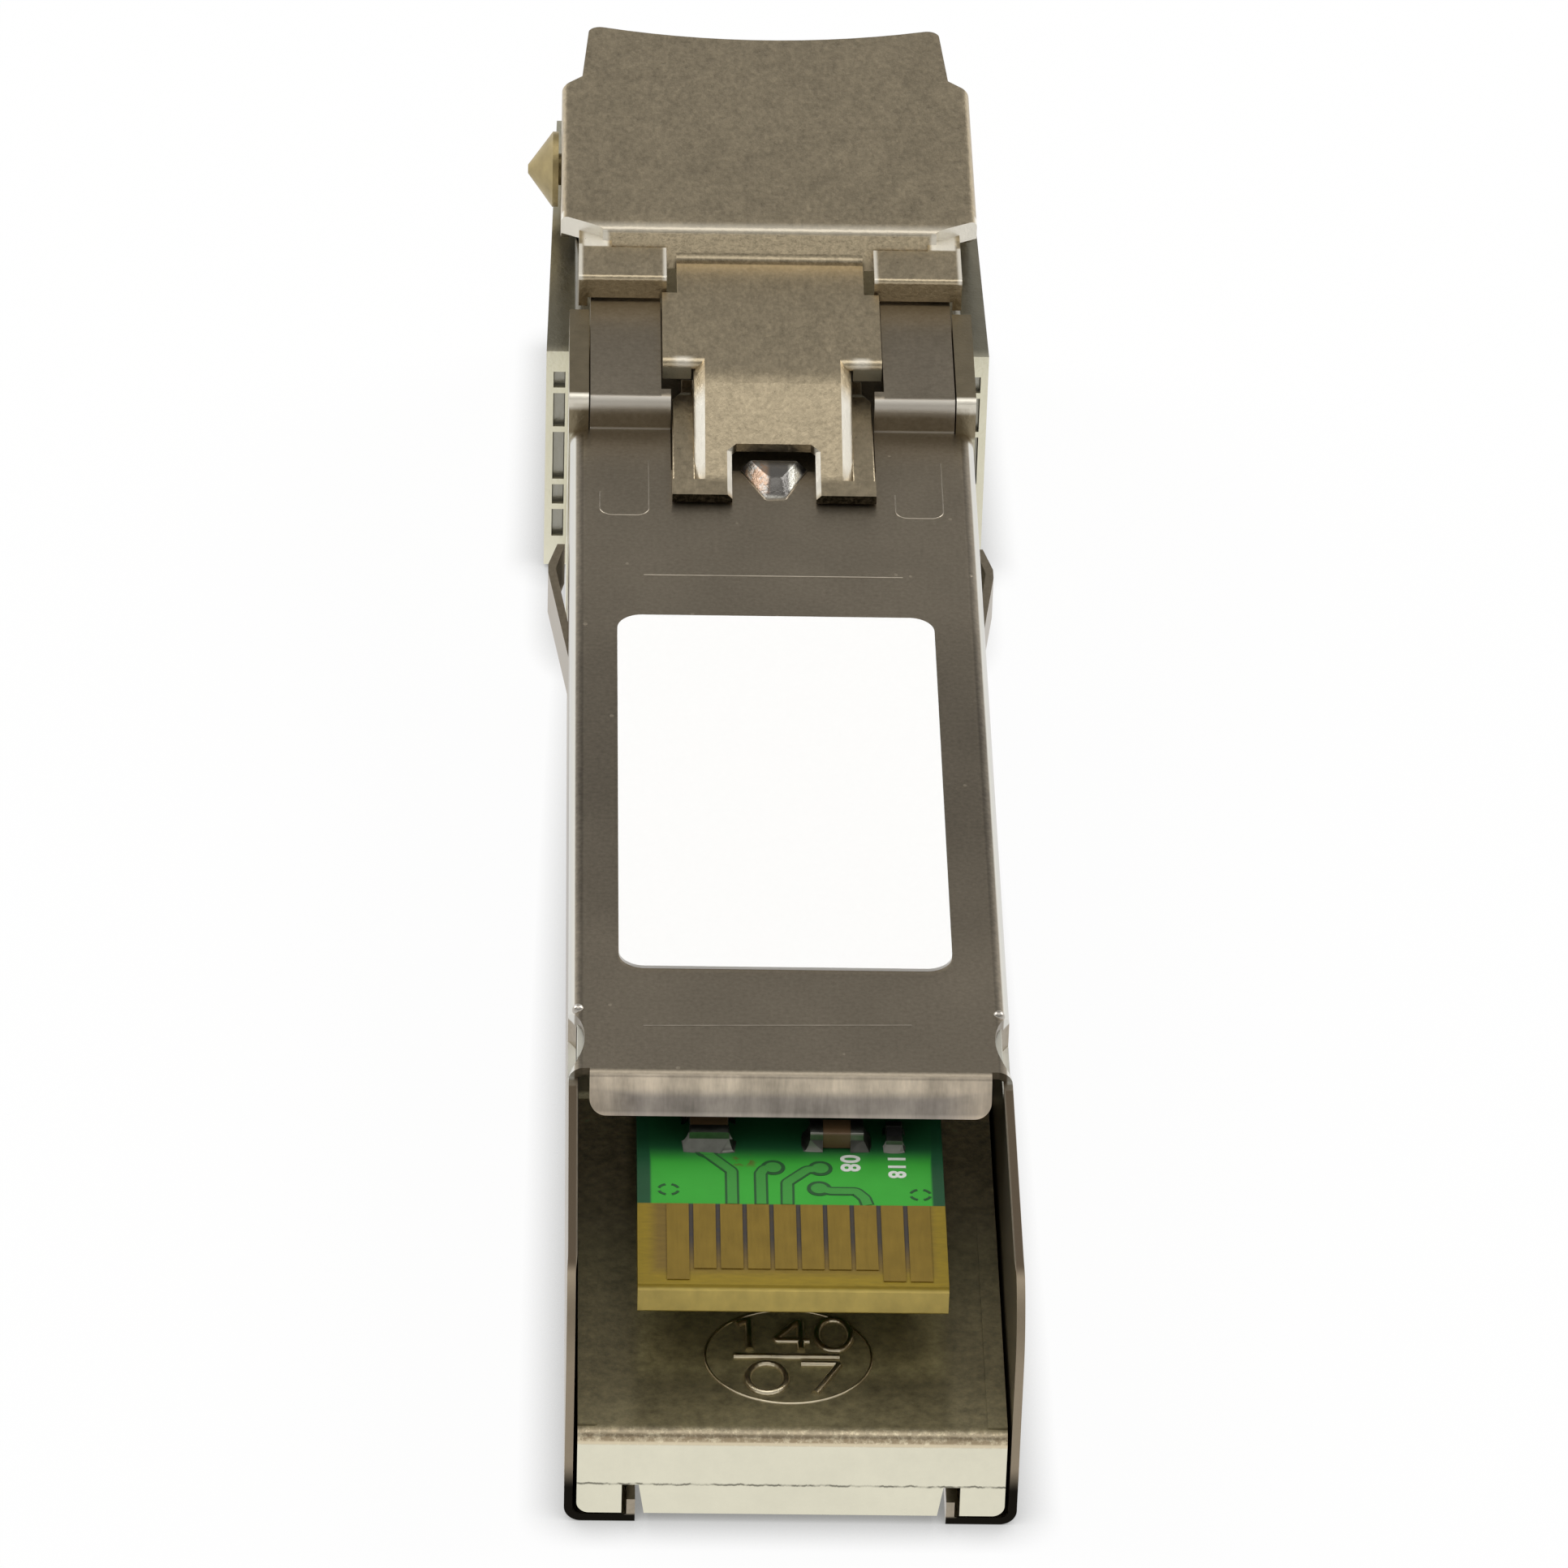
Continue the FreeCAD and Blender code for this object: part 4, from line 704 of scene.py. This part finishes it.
def cut_reliefs(gap_finish):
    """Rings of four short gaps in the copper, one ring at each side of the tracks."""
    ring, first_gap, gap_turn = (0.3, 0.26), 18, 55
    jig = Jig("relief_gaps")
    width = jig.given("Arc Width", 0.09)
    height = jig.given("Arc Height", 0.02)
    material = jig.given("Gap Finish", gap_finish)
    ribs = jig.swept(jig.entry.outputs[0], jig.strip(width, height))
    starts = range(first_gap, 360, 90)
    arcs = [arc(centre, ring, start, start + gap_turn, 8) for centre in RELIEFS for start in starts]
    paths = drawn_paths("reliefs", arcs, BOARD_FACE)
    settle(jig.run(paths, [jig.finished(ribs, material)], "relief_gaps"), "board")


def written(name, words, size, depth, weight):
    """Printed figures as a mesh, centred on zero height."""
    data = bpy.data.curves.new(name, "FONT")
    data.body = words
    data.size = size * MM
    data.extrude = depth * MM
    data.offset = weight * MM
    data.align_x = "CENTER"
    data.align_y = "CENTER"
    data.space_character = 1.1
    thing = bpy.data.objects.new(name, data)
    bpy.context.scene.collection.objects.link(thing)
    mesh = plain_mesh(thing, name)
    bpy.data.objects.remove(thing)
    return mesh


def print_figures():
    """Two plain numbers printed in white beside the small parts, turned as the board's print is."""
    white = moulded("white_print", (0.72, 0.76, 0.7), rough=0.6, scale=9.0, depth=0.1)
    depth, weight = 0.008, 0.022
    turn = Matrix.Rotation(-QUARTER_TURN, 4, "Z")
    for name, words, size, spot in (("print_a", "08", 0.8, (1.78, -35.55)),
                                    ("print_b", "118", 0.72, (3.18, -35.7))):
        mesh = written(name, words, size, depth, weight)
        mesh.transform(Matrix.Translation(Vector((*spot, BOARD_FACE + depth)) * MM) @ turn)
        mesh.materials.append(white)
        settle(new_piece(name, mesh), "board")


# Single-stroke figures in a box one unit wide and two units high
FIGURES = {
    "0": [arc((0.5, 1.0), (0.5, 1.0), 0, 360, 24)],
    "1": [[(0.2, 1.6), (0.55, 2.0), (0.55, 0.0)]],
    "4": [[(0.8, 0.0), (0.8, 2.0), (0.0, 0.6), (1.05, 0.6)]],
    "7": [[(0.0, 2.0), (1.0, 2.0), (0.35, 0.0)]],
}


def stroked(words, corner, size, pitch):
    """Figures as runs of strokes from their lower left corner."""
    runs = []
    for place, figure in enumerate(words):
        left = corner[0] + place * pitch
        for run in FIGURES[figure]:
            runs.append([(left + u * size[0], corner[1] + v * size[1]) for u, v in run])
    return runs


def lay_beads(name, runs, finish, height, radius, bend, corner_points, sides):
    """A piece of round beads along drawn runs at one height, with the runs' corners rounded."""
    jig = Jig(name)
    bead = jig.given("Bead Radius", radius)
    corner = jig.given("Bend Radius", bend)
    material = jig.given("Finish", finish)
    path = jig.rounded(jig.entry.outputs[0], corner, corner_points)
    circle = jig.node("GeometryNodeCurvePrimitiveCircle", {"mode": "RADIUS"},
                      {"Resolution": sides, "Radius": bead})
    beads = jig.finished(jig.swept(path, circle), material)
    return jig.run(drawn_paths(f"{name}_runs", runs, height), [beads], name)


def mark_floor(mark_finish):
    """The mould mark in the tail's floor: an oval bead, a bar and numbers in round strokes."""
    oval = [arc((-0.07, -41.2), (2.48, 2.28), 0, 360, 96)]
    bar = [[(-1.7, -41.22), (1.45, -41.22)]]
    upper = stroked("140", (-1.78, -40.9), (1.02, 0.76), 1.28)
    lower = stroked("07", (-1.3, -43.0), (1.15, 0.72), 1.6)
    for name, runs, radius in (("floor_oval", oval, 0.045),
                               ("floor_figures", bar + upper + lower, 0.12)):
        piece = lay_beads(name, runs, mark_finish, height=FLOOR_FACE, radius=radius, bend=0.08,
                          corner_points=4, sides=12)
        settle(piece, "casting")


def mark_sleeve(line_finish):
    """Fine raised die marks on the cover: two lines across it and a U beside each lever foot."""
    paths = [[(-4.3, -6.42), (4.1, -6.4)], [(-4.43, -31.67), (3.7, -31.5)]]
    for left, right in ((-5.72, -4.12), (3.98, 5.54)):
        paths.append([(left, -1.4), (left, -2.8), (right, -2.8), (right, 0.6)])
    piece = lay_beads("die_marks", paths, line_finish, height=-0.012, radius=0.03, bend=0.42,
                      corner_points=8, sides=8)
    settle(piece, "sleeve_sheet")


def coin_nubs(nub_finish):
    """Two small coined nubs on the cover, just before the round notches in its edges."""
    places, middle = ((-6.4, -30.76), (6.36, -30.86)), -0.1
    jig = Jig("coined_nubs")
    radius = jig.given("Nub Radius", 0.19)
    material = jig.given("Finish", nub_finish)
    ball = jig.node("GeometryNodeMeshUVSphere",
                    inputs={"Segments": 24, "Rings": 14, "Radius": radius})
    rows = jig.node("GeometryNodeInstanceOnPoints",
                    inputs={"Points": jig.entry.outputs[0], "Instance": ball})
    points = bpy.data.meshes.new("nub_places")
    points.from_pydata([(x * MM, y * MM, middle * MM) for x, y in places], [], [])
    settle(jig.run(points, [jig.finished(rows, material)], "coined_nubs"), "sleeve_sheet")


def solid_piece(name, outlines, material, heights, edge_radius):
    """A piece of closed solids with softened edges, each from a lower outline to an upper one."""
    work = bmesh.new()
    for pair in outlines:
        low, high = ([work.verts.new(Vector((*corner, height)) * MM) for corner in outline]
                     for outline, height in zip(pair, heights))
        work.faces.new(low)
        work.faces.new(high)
        for place in range(len(low)):
            after = (place + 1) % len(low)
            work.faces.new((low[place], low[after], high[after], high[place]))
    bmesh.ops.recalc_face_normals(work, faces=work.faces)
    bmesh.ops.bevel(work, geom=list(work.edges), offset=edge_radius * MM, segments=2, profile=0.5,
                    affect="EDGES")
    mesh = close_mesh(work, bpy.data.meshes.new(name), SOLID_SHARP)
    mesh.materials.append(material)
    return new_piece(name, mesh)


def both_sides(outline):
    """An outline at the right, and its mirror image at the left."""
    return outline, [(-x, y) for x, y in reversed(outline)]


def press_boss(material):
    """The latch boss at its full size: a flat top and drafted faces that narrow to a blunt tip."""
    foot = [(-1.2, 0.1), (1.2, 0.1), (0.42, -1.86), (-0.3, -1.92)]
    top = [(-0.8, 0.0), (0.8, 0.0), (0.25, -1.1), (-0.15, -1.12)]
    piece = solid_piece("latch_boss", [(foot, top)], material, heights=(-0.05, 0.46),
                        edge_radius=0.09)
    settle(piece, "sleeve_sheet")


def add_flanges(material):
    """The level flanges at both sides of the lever's ramp, between its feet and its ears."""
    right = [(2.6, -1.15), (3.33, -1.15), (3.33, 3.9), (3.02, 4.4), (3.02, 5.2), (2.6, 5.2)]
    outlines = [(side, side) for side in both_sides(right)]
    piece = solid_piece("ramp_flanges", outlines, material, heights=(0.1, 0.33), edge_radius=0.04)
    settle(piece, "lever_sheet", body="lever")


def back_notches():
    """The casting's pale ledges that show through the round notches, cut away below to the rear."""
    lower = [(5.9, -31.0), (6.43, -31.0), (6.43, -30.5), (5.9, -30.5)]
    upper = [(5.9, -32.9), (6.43, -32.9), (6.43, -30.5), (5.9, -30.5)]
    pale = moulded("pale_casting", (0.6, 0.59, 0.52), rough=0.5)
    outlines = zip(both_sides(lower), both_sides(upper))
    piece = solid_piece("notch_ledges", outlines, pale, heights=(-2.0, -0.32), edge_radius=0.02)
    settle(piece, "casting")


def floor_slots(material):
    """The floors of the nose's shallow side slots, one bar behind the ribs at each side."""
    right = [(6.86, 9.65), (7.24, 9.65), (7.24, 11.3), (6.86, 11.3)]
    outlines = [(side, side) for side in both_sides(right)]
    piece = solid_piece("slot_floors", outlines, material, heights=(-8.65, -1.95),
                        edge_radius=0.02)
    settle(piece, "casting")


# Small parts on the board: across, along, and whether they are turned to lie across it
CAPACITORS = [(-2.43, -34.05, False), (1.41, -34.45, True), (-0.6, -30.5, True),
              (0.6, -28.0, False), (-4.2, -22.0, False), (-2.6, -22.0, False),
              (-1.0, -22.0, False), (-3.6, -17.5, True), (-3.6, -15.5, True),
              (4.6, -14.8, False), (0.2, -9.5, True), (-2.6, -9.5, True), (3.4, -6.5, True)]
RESISTORS = [(3.15, -34.35, False), (3.0, -31.0, True), (3.0, -30.0, True), (-4.2, -30.6, True),
             (-0.9, -25.0, False), (0.1, -25.0, False), (-0.4, -17.5, True), (-0.4, -16.3, True),
             (-0.4, -15.1, True), (-3.4, -6.5, False), (-2.4, -6.5, False)]

# Width, length and height of one part, and how much wider the first one in the row is
CAPACITOR_SIZES, FIRST_CAPACITOR = (0.8, 1.6, 0.6), 1.5
RESISTOR_SIZES, FIRST_RESISTOR = (0.5, 1.0, 0.35), 1.0

# Shares of a small part's own sizes
CAP_LENGTH = 0.24
BODY_GIRTH = 0.94
EDGE_ROUNDING = 0.09
SOLDER_RISE = 0.6
SOLDER_REACH = 0.32


def solder_skirt(name, width, length, cap, height, reach):
    """Solder round both ends of a small part: a concave skirt from the end cap to the board."""
    steps, hollow, side_share = 6, 2.2, 0.6
    half, end_face, inner = width / 2, length / 2, length / 2 - cap
    # Round the end cap from one side to the other: across, along, and which way the solder spreads
    base = [(-half, inner, (-1, 0)), (-half, end_face, (-0.75, 0.75)),
            (-half / 2, end_face, (-0.1, 1)), (half / 2, end_face, (0.1, 1)),
            (half, end_face, (0.75, 0.75)), (half, inner, (1, 0))]
    work = bmesh.new()
    for end in (-1, 1):
        rows = []
        for step in range(steps + 1):
            spread = reach * step / steps
            rise = height * (1 - step / steps) ** hollow
            spots = [(x + out[0] * spread * side_share, end * (y + out[1] * spread), rise)
                     for x, y, out in base]
            rows.append([work.verts.new(spot) for spot in spots])
        for upper, lower in zip(rows, rows[1:]):
            for corner in range(len(base) - 1):
                work.faces.new((upper[corner], upper[corner + 1], lower[corner + 1], lower[corner]))
    bmesh.ops.holes_fill(work, edges=[edge for edge in work.edges if edge.is_boundary])
    bmesh.ops.recalc_face_normals(work, faces=work.faces)
    mesh = bpy.data.meshes.new(name)
    work.to_mesh(mesh)
    work.free()
    mesh.transform(Matrix.Scale(MM, 4))
    return bpy.data.objects.new(name, mesh)


def fit_small_parts(name, places, sizes, first_width, body_finish, tin, slot, replaced):
    """A row of chip parts: a rounded body, two tinned end caps and their solder."""
    width, length, height = sizes
    cap = length * CAP_LENGTH
    skirt = solder_skirt(f"{name}_skirt", width, length, cap, height * SOLDER_RISE,
                         width * SOLDER_REACH)
    jig = Jig(name)
    body_width = jig.given("Body Width", width * BODY_GIRTH)
    body_height = jig.given("Body Height", height * BODY_GIRTH)
    cap_width = jig.given("Cap Width", width)
    cap_height = jig.given("Cap Height", height)
    half_length = jig.given("Half Length", length / 2)
    cap_start = jig.given("Cap Start", length / 2 - cap)
    edge = jig.given("Edge Radius", height * EDGE_ROUNDING)
    lift = jig.given("Middle Height", height / 2)
    skirt_object = jig.given("Solder", skirt)
    body_material = jig.given("Body Finish", body_finish)
    cap_material = jig.given("Cap Finish", tin)
    turn, girth = (jig.node("GeometryNodeInputNamedAttribute", {"data_type": "FLOAT_VECTOR"},
                            {"Name": label}) for label in ("turn", "girth"))

    def bar(profile_width, profile_height, near, far):
        outline = jig.rounded(jig.strip(profile_width, profile_height), edge, count=3)
        start = jig.node("ShaderNodeCombineXYZ", inputs={"Y": near, "Z": lift})
        stop = jig.node("ShaderNodeCombineXYZ", inputs={"Y": far, "Z": lift})
        line = jig.node("GeometryNodeCurvePrimitiveLine", inputs={"Start": start, "End": stop})
        return jig.swept(line, outline)

    def repeated(shape, material):
        rows = jig.node("GeometryNodeInstanceOnPoints",
                        inputs={"Points": jig.entry.outputs[0], "Instance": shape,
                                "Rotation": turn, "Scale": girth})
        return jig.finished(rows, material)

    near_start, near_end = jig.scaled(cap_start, -1.0), jig.scaled(half_length, -1.0)
    body = bar(body_width, body_height, near_start, cap_start)
    near_cap = bar(cap_width, cap_height, near_end, near_start)
    far_cap = bar(cap_width, cap_height, cap_start, half_length)
    solder = jig.node("GeometryNodeObjectInfo",
                      inputs={"Object": skirt_object, "As Instance": False}, out="Geometry")
    ends = jig.node("GeometryNodeJoinGeometry", inputs={0: [near_cap, far_cap, solder]})
    points = bpy.data.meshes.new(f"{name}_places")
    points.from_pydata([(x * MM, y * MM, BOARD_FACE * MM) for x, y, _ in places], [], [])
    turns = points.attributes.new("turn", "FLOAT_VECTOR", "POINT")
    girths = points.attributes.new("girth", "FLOAT_VECTOR", "POINT")
    for row, (_, _, across) in enumerate(places):
        turns.data[row].vector = (0.0, 0.0, QUARTER_TURN if across else 0.0)
        girths.data[row].vector = (1.0 if row else first_width, 1.0, 1.0)
    piece = jig.run(points, [repeated(body, body_material), repeated(ends, cap_material)], name)
    bpy.data.objects.remove(skirt)
    settle(piece, slot, replaced)


def aim_camera():
    """Puts the camera at the photograph's angle; the lens is long, about 220 mm."""
    elevation, azimuth, roll = math.radians(33.878), math.radians(-1.956), math.radians(1.792)
    target, distance = Vector((0.0437, -18.486, 0.0)) * MM, 300.65 * MM
    sensor, focal_pixels, photo_pixels = 36.0, 11801.0, 1932.0
    flat = math.cos(elevation)
    back = Vector((math.sin(azimuth) * flat, -math.cos(azimuth) * flat, math.sin(elevation)))
    right = Vector((0, 0, 1)).cross(back).normalized()
    up = back.cross(right)
    tilted_right = right * math.cos(roll) + up * math.sin(roll)
    tilted_up = up * math.cos(roll) - right * math.sin(roll)
    data = bpy.data.cameras.new("camera")
    data.sensor_fit = "HORIZONTAL"
    data.sensor_width = sensor
    data.lens = sensor * focal_pixels / photo_pixels
    data.clip_start = 0.01
    data.clip_end = 20.0
    camera = bpy.data.objects.new("camera", data)
    turn = Matrix((tilted_right, tilted_up, back)).transposed()
    camera.matrix_world = Matrix.Translation(target + back * distance) @ turn.to_4x4()
    bpy.context.scene.collection.objects.link(camera)
    bpy.context.scene.camera = camera


def lay_floor():
    """A pale floor under the nose and the sleeve's rear end, white in view and in reflections, with
    a painted contact shadow where ambient occlusion finds the module close.
    """
    f = new_finish("floor_white")
    seen = f.node("ShaderNodeLightPath", out="Is Camera Ray")
    glossy = f.node("ShaderNodeLightPath", out="Is Glossy Ray")
    through = f.node("ShaderNodeLightPath", out="Is Transmission Ray")
    matt = f.node("ShaderNodeBsdfDiffuse", inputs={"Color": (0.9, 0.9, 0.9)})
    openness = f.node("ShaderNodeAmbientOcclusion", {"samples": 8}, {"Distance": 1.5 * MM},
                      out="AO")
    shown = f.blend(openness.most(1.0 - seen), (0.2, 0.2, 0.19), (1.0, 1.0, 1.0))
    white = f.node("ShaderNodeEmission", inputs={"Color": shown, "Strength": 1.0})
    factor = (seen * 0.95).most(glossy).most(through)
    surface = f.node("ShaderNodeMixShader", inputs={0: factor, 1: matt, 2: white})
    f.end("ShaderNodeOutputMaterial", surface)
    reach, gap = 1.5, 0.03
    slope = (NOSE_BOTTOM - SLEEVE_BOTTOM) / (NOSE_HEEL - REAR)
    height = (NOSE_BOTTOM - gap) * MM
    corners = [(-reach, -reach), (reach, -reach), (reach, reach), (-reach, reach)]
    spots = [(x, y, height + (y - NOSE_HEEL * MM) * slope) for x, y in corners]
    mesh = bpy.data.meshes.new("floor")
    mesh.from_pydata(spots, [], [(0, 1, 2, 3)])
    mesh.materials.append(f.holder)
    new_piece("floor", mesh)


def hang_lamp(name, spot, size, power):
    """A soft flat lamp that faces the module."""
    data = bpy.data.lights.new(name, "AREA")
    data.shape = "RECTANGLE"
    data.size = size[0]
    data.size_y = size[1]
    data.energy = power
    lamp = bpy.data.objects.new(name, data)
    direction = Vector(spot)
    turn = direction.to_track_quat("Z", "Y").to_matrix()
    lamp.matrix_world = Matrix.Translation(direction) @ turn.to_4x4()
    bpy.context.scene.collection.objects.link(lamp)


# Brightness of the tent's two halves by the sine of the angle above level: 1 is straight above
SWEEP = [(0.0, 1.0), (0.2, 1.0), (0.3, 0.5), (0.42, 0.22), (0.64, 0.24), (0.8, 0.47), (0.9, 0.75),
         (1.0, 0.7)]
CLOTH = [(0.0, 0.5), (0.24, 0.58), (0.4, 1.2), (0.48, 0.55), (0.58, 0.14), (0.74, 0.24),
         (0.83, 0.5), (1.0, 0.7)]

# Lamps: name, place and size in metres, and power in watts
LAMPS = [("key", (0.0, 0.05, 0.92), (0.6, 0.5), 0.85),
         ("left", (-0.7, 0.45, 0.65), (0.6, 0.6), 4.8),
         ("right", (0.7, 0.45, 0.65), (0.6, 0.6), 4.8)]


def light_studio():
    """A tent, with a sweep beyond the module and cloth on the camera's side, and three lamps."""
    world = bpy.data.worlds.new("tent")
    bpy.context.scene.world = world
    f = Finish(world)
    _, y, z = f.split(f.node("ShaderNodeTexCoord", out="Generated"))
    warm = (1.0, 0.985, 0.95)
    halves = []
    for levels in (SWEEP, CLOTH):
        stops = [(place, tuple(level * part for part in warm)) for place, level in levels]
        halves.append(f.node("ShaderNodeValToRGB", {"stops": stops}, {0: z}))
    colour = f.blend(f.step(-y, 0.05, 0.5), *halves)
    surface = f.node("ShaderNodeBackground", inputs={"Color": colour, "Strength": 1.0})
    f.end("ShaderNodeOutputWorld", surface)
    for lamp in LAMPS:
        hang_lamp(*lamp)


casting_finish = cast_zinc()
sheet_finish = plated_sheet()
lever_finish = lever_sheet()
tin_finish = tinned()
epoxy = moulded("epoxy_package", (0.03, 0.03, 0.033), rough=0.5)
dress(casting_finish, "diecast_body")
dress(sheet_finish, "sleeve")
dress(lever_finish, "release_lever")
dress(label_film(), "blank_label")
dress(brass_pin(), "pivot_pin")
dress(board_laminate(), "circuit_board")
dress(contact_gold(), "edge_contacts_latch_side", "edge_contacts_far_side", "jack_contacts")
dress(epoxy, "phy_chip", "magnetics_module", "memory_chip", "voltage_regulator")
dress(moulded("ferrite", (0.1, 0.1, 0.1), rough=0.6, scale=8.0), "power_inductor")
dress(moulded("gap_filler", (0.5, 0.56, 0.62), rough=0.7, scale=3.0), "thermal_pad")
dress(moulded("jack_plastic", (0.03, 0.03, 0.03), rough=0.45), "jack_insert", "contact_carrier")
dress(tin_finish, "magnetics_leads", "memory_leads", "clock_crystal")

ceramic = moulded("fired_ceramic", (0.14, 0.085, 0.04), rough=0.45, scale=7.0)
glaze = moulded("glazed_film", (0.03, 0.03, 0.03), rough=0.35, scale=7.0)
fit_small_parts("capacitor_row", CAPACITORS, CAPACITOR_SIZES, FIRST_CAPACITOR, ceramic, tin_finish,
                "capacitor", "ceramic_capacitors")
fit_small_parts("resistor_row", RESISTORS, RESISTOR_SIZES, FIRST_RESISTOR, glaze, tin_finish,
                "resistor", "chip_resistors")
mask_gap = moulded("mask_gap", (0.012, 0.085, 0.02), rough=0.42, scale=6.0, depth=0.1)
lay_tracks(mask_gap)
cut_reliefs(mask_gap)
print_figures()
mark_floor(burnished("burnished_mark", (0.92, 0.82, 0.6)))
coin_nubs(burnished("burnished_nub", (0.6, 0.56, 0.5)))
press_boss(sheet_finish)
add_flanges(lever_finish)
floor_slots(casting_finish)
back_notches()
mark_sleeve(burnished("burnished_line", (0.41, 0.365, 0.295), rear_wear=0.45))

aim_camera()
lay_floor()
light_studio()
bpy.context.scene.view_settings.view_transform = "Standard"
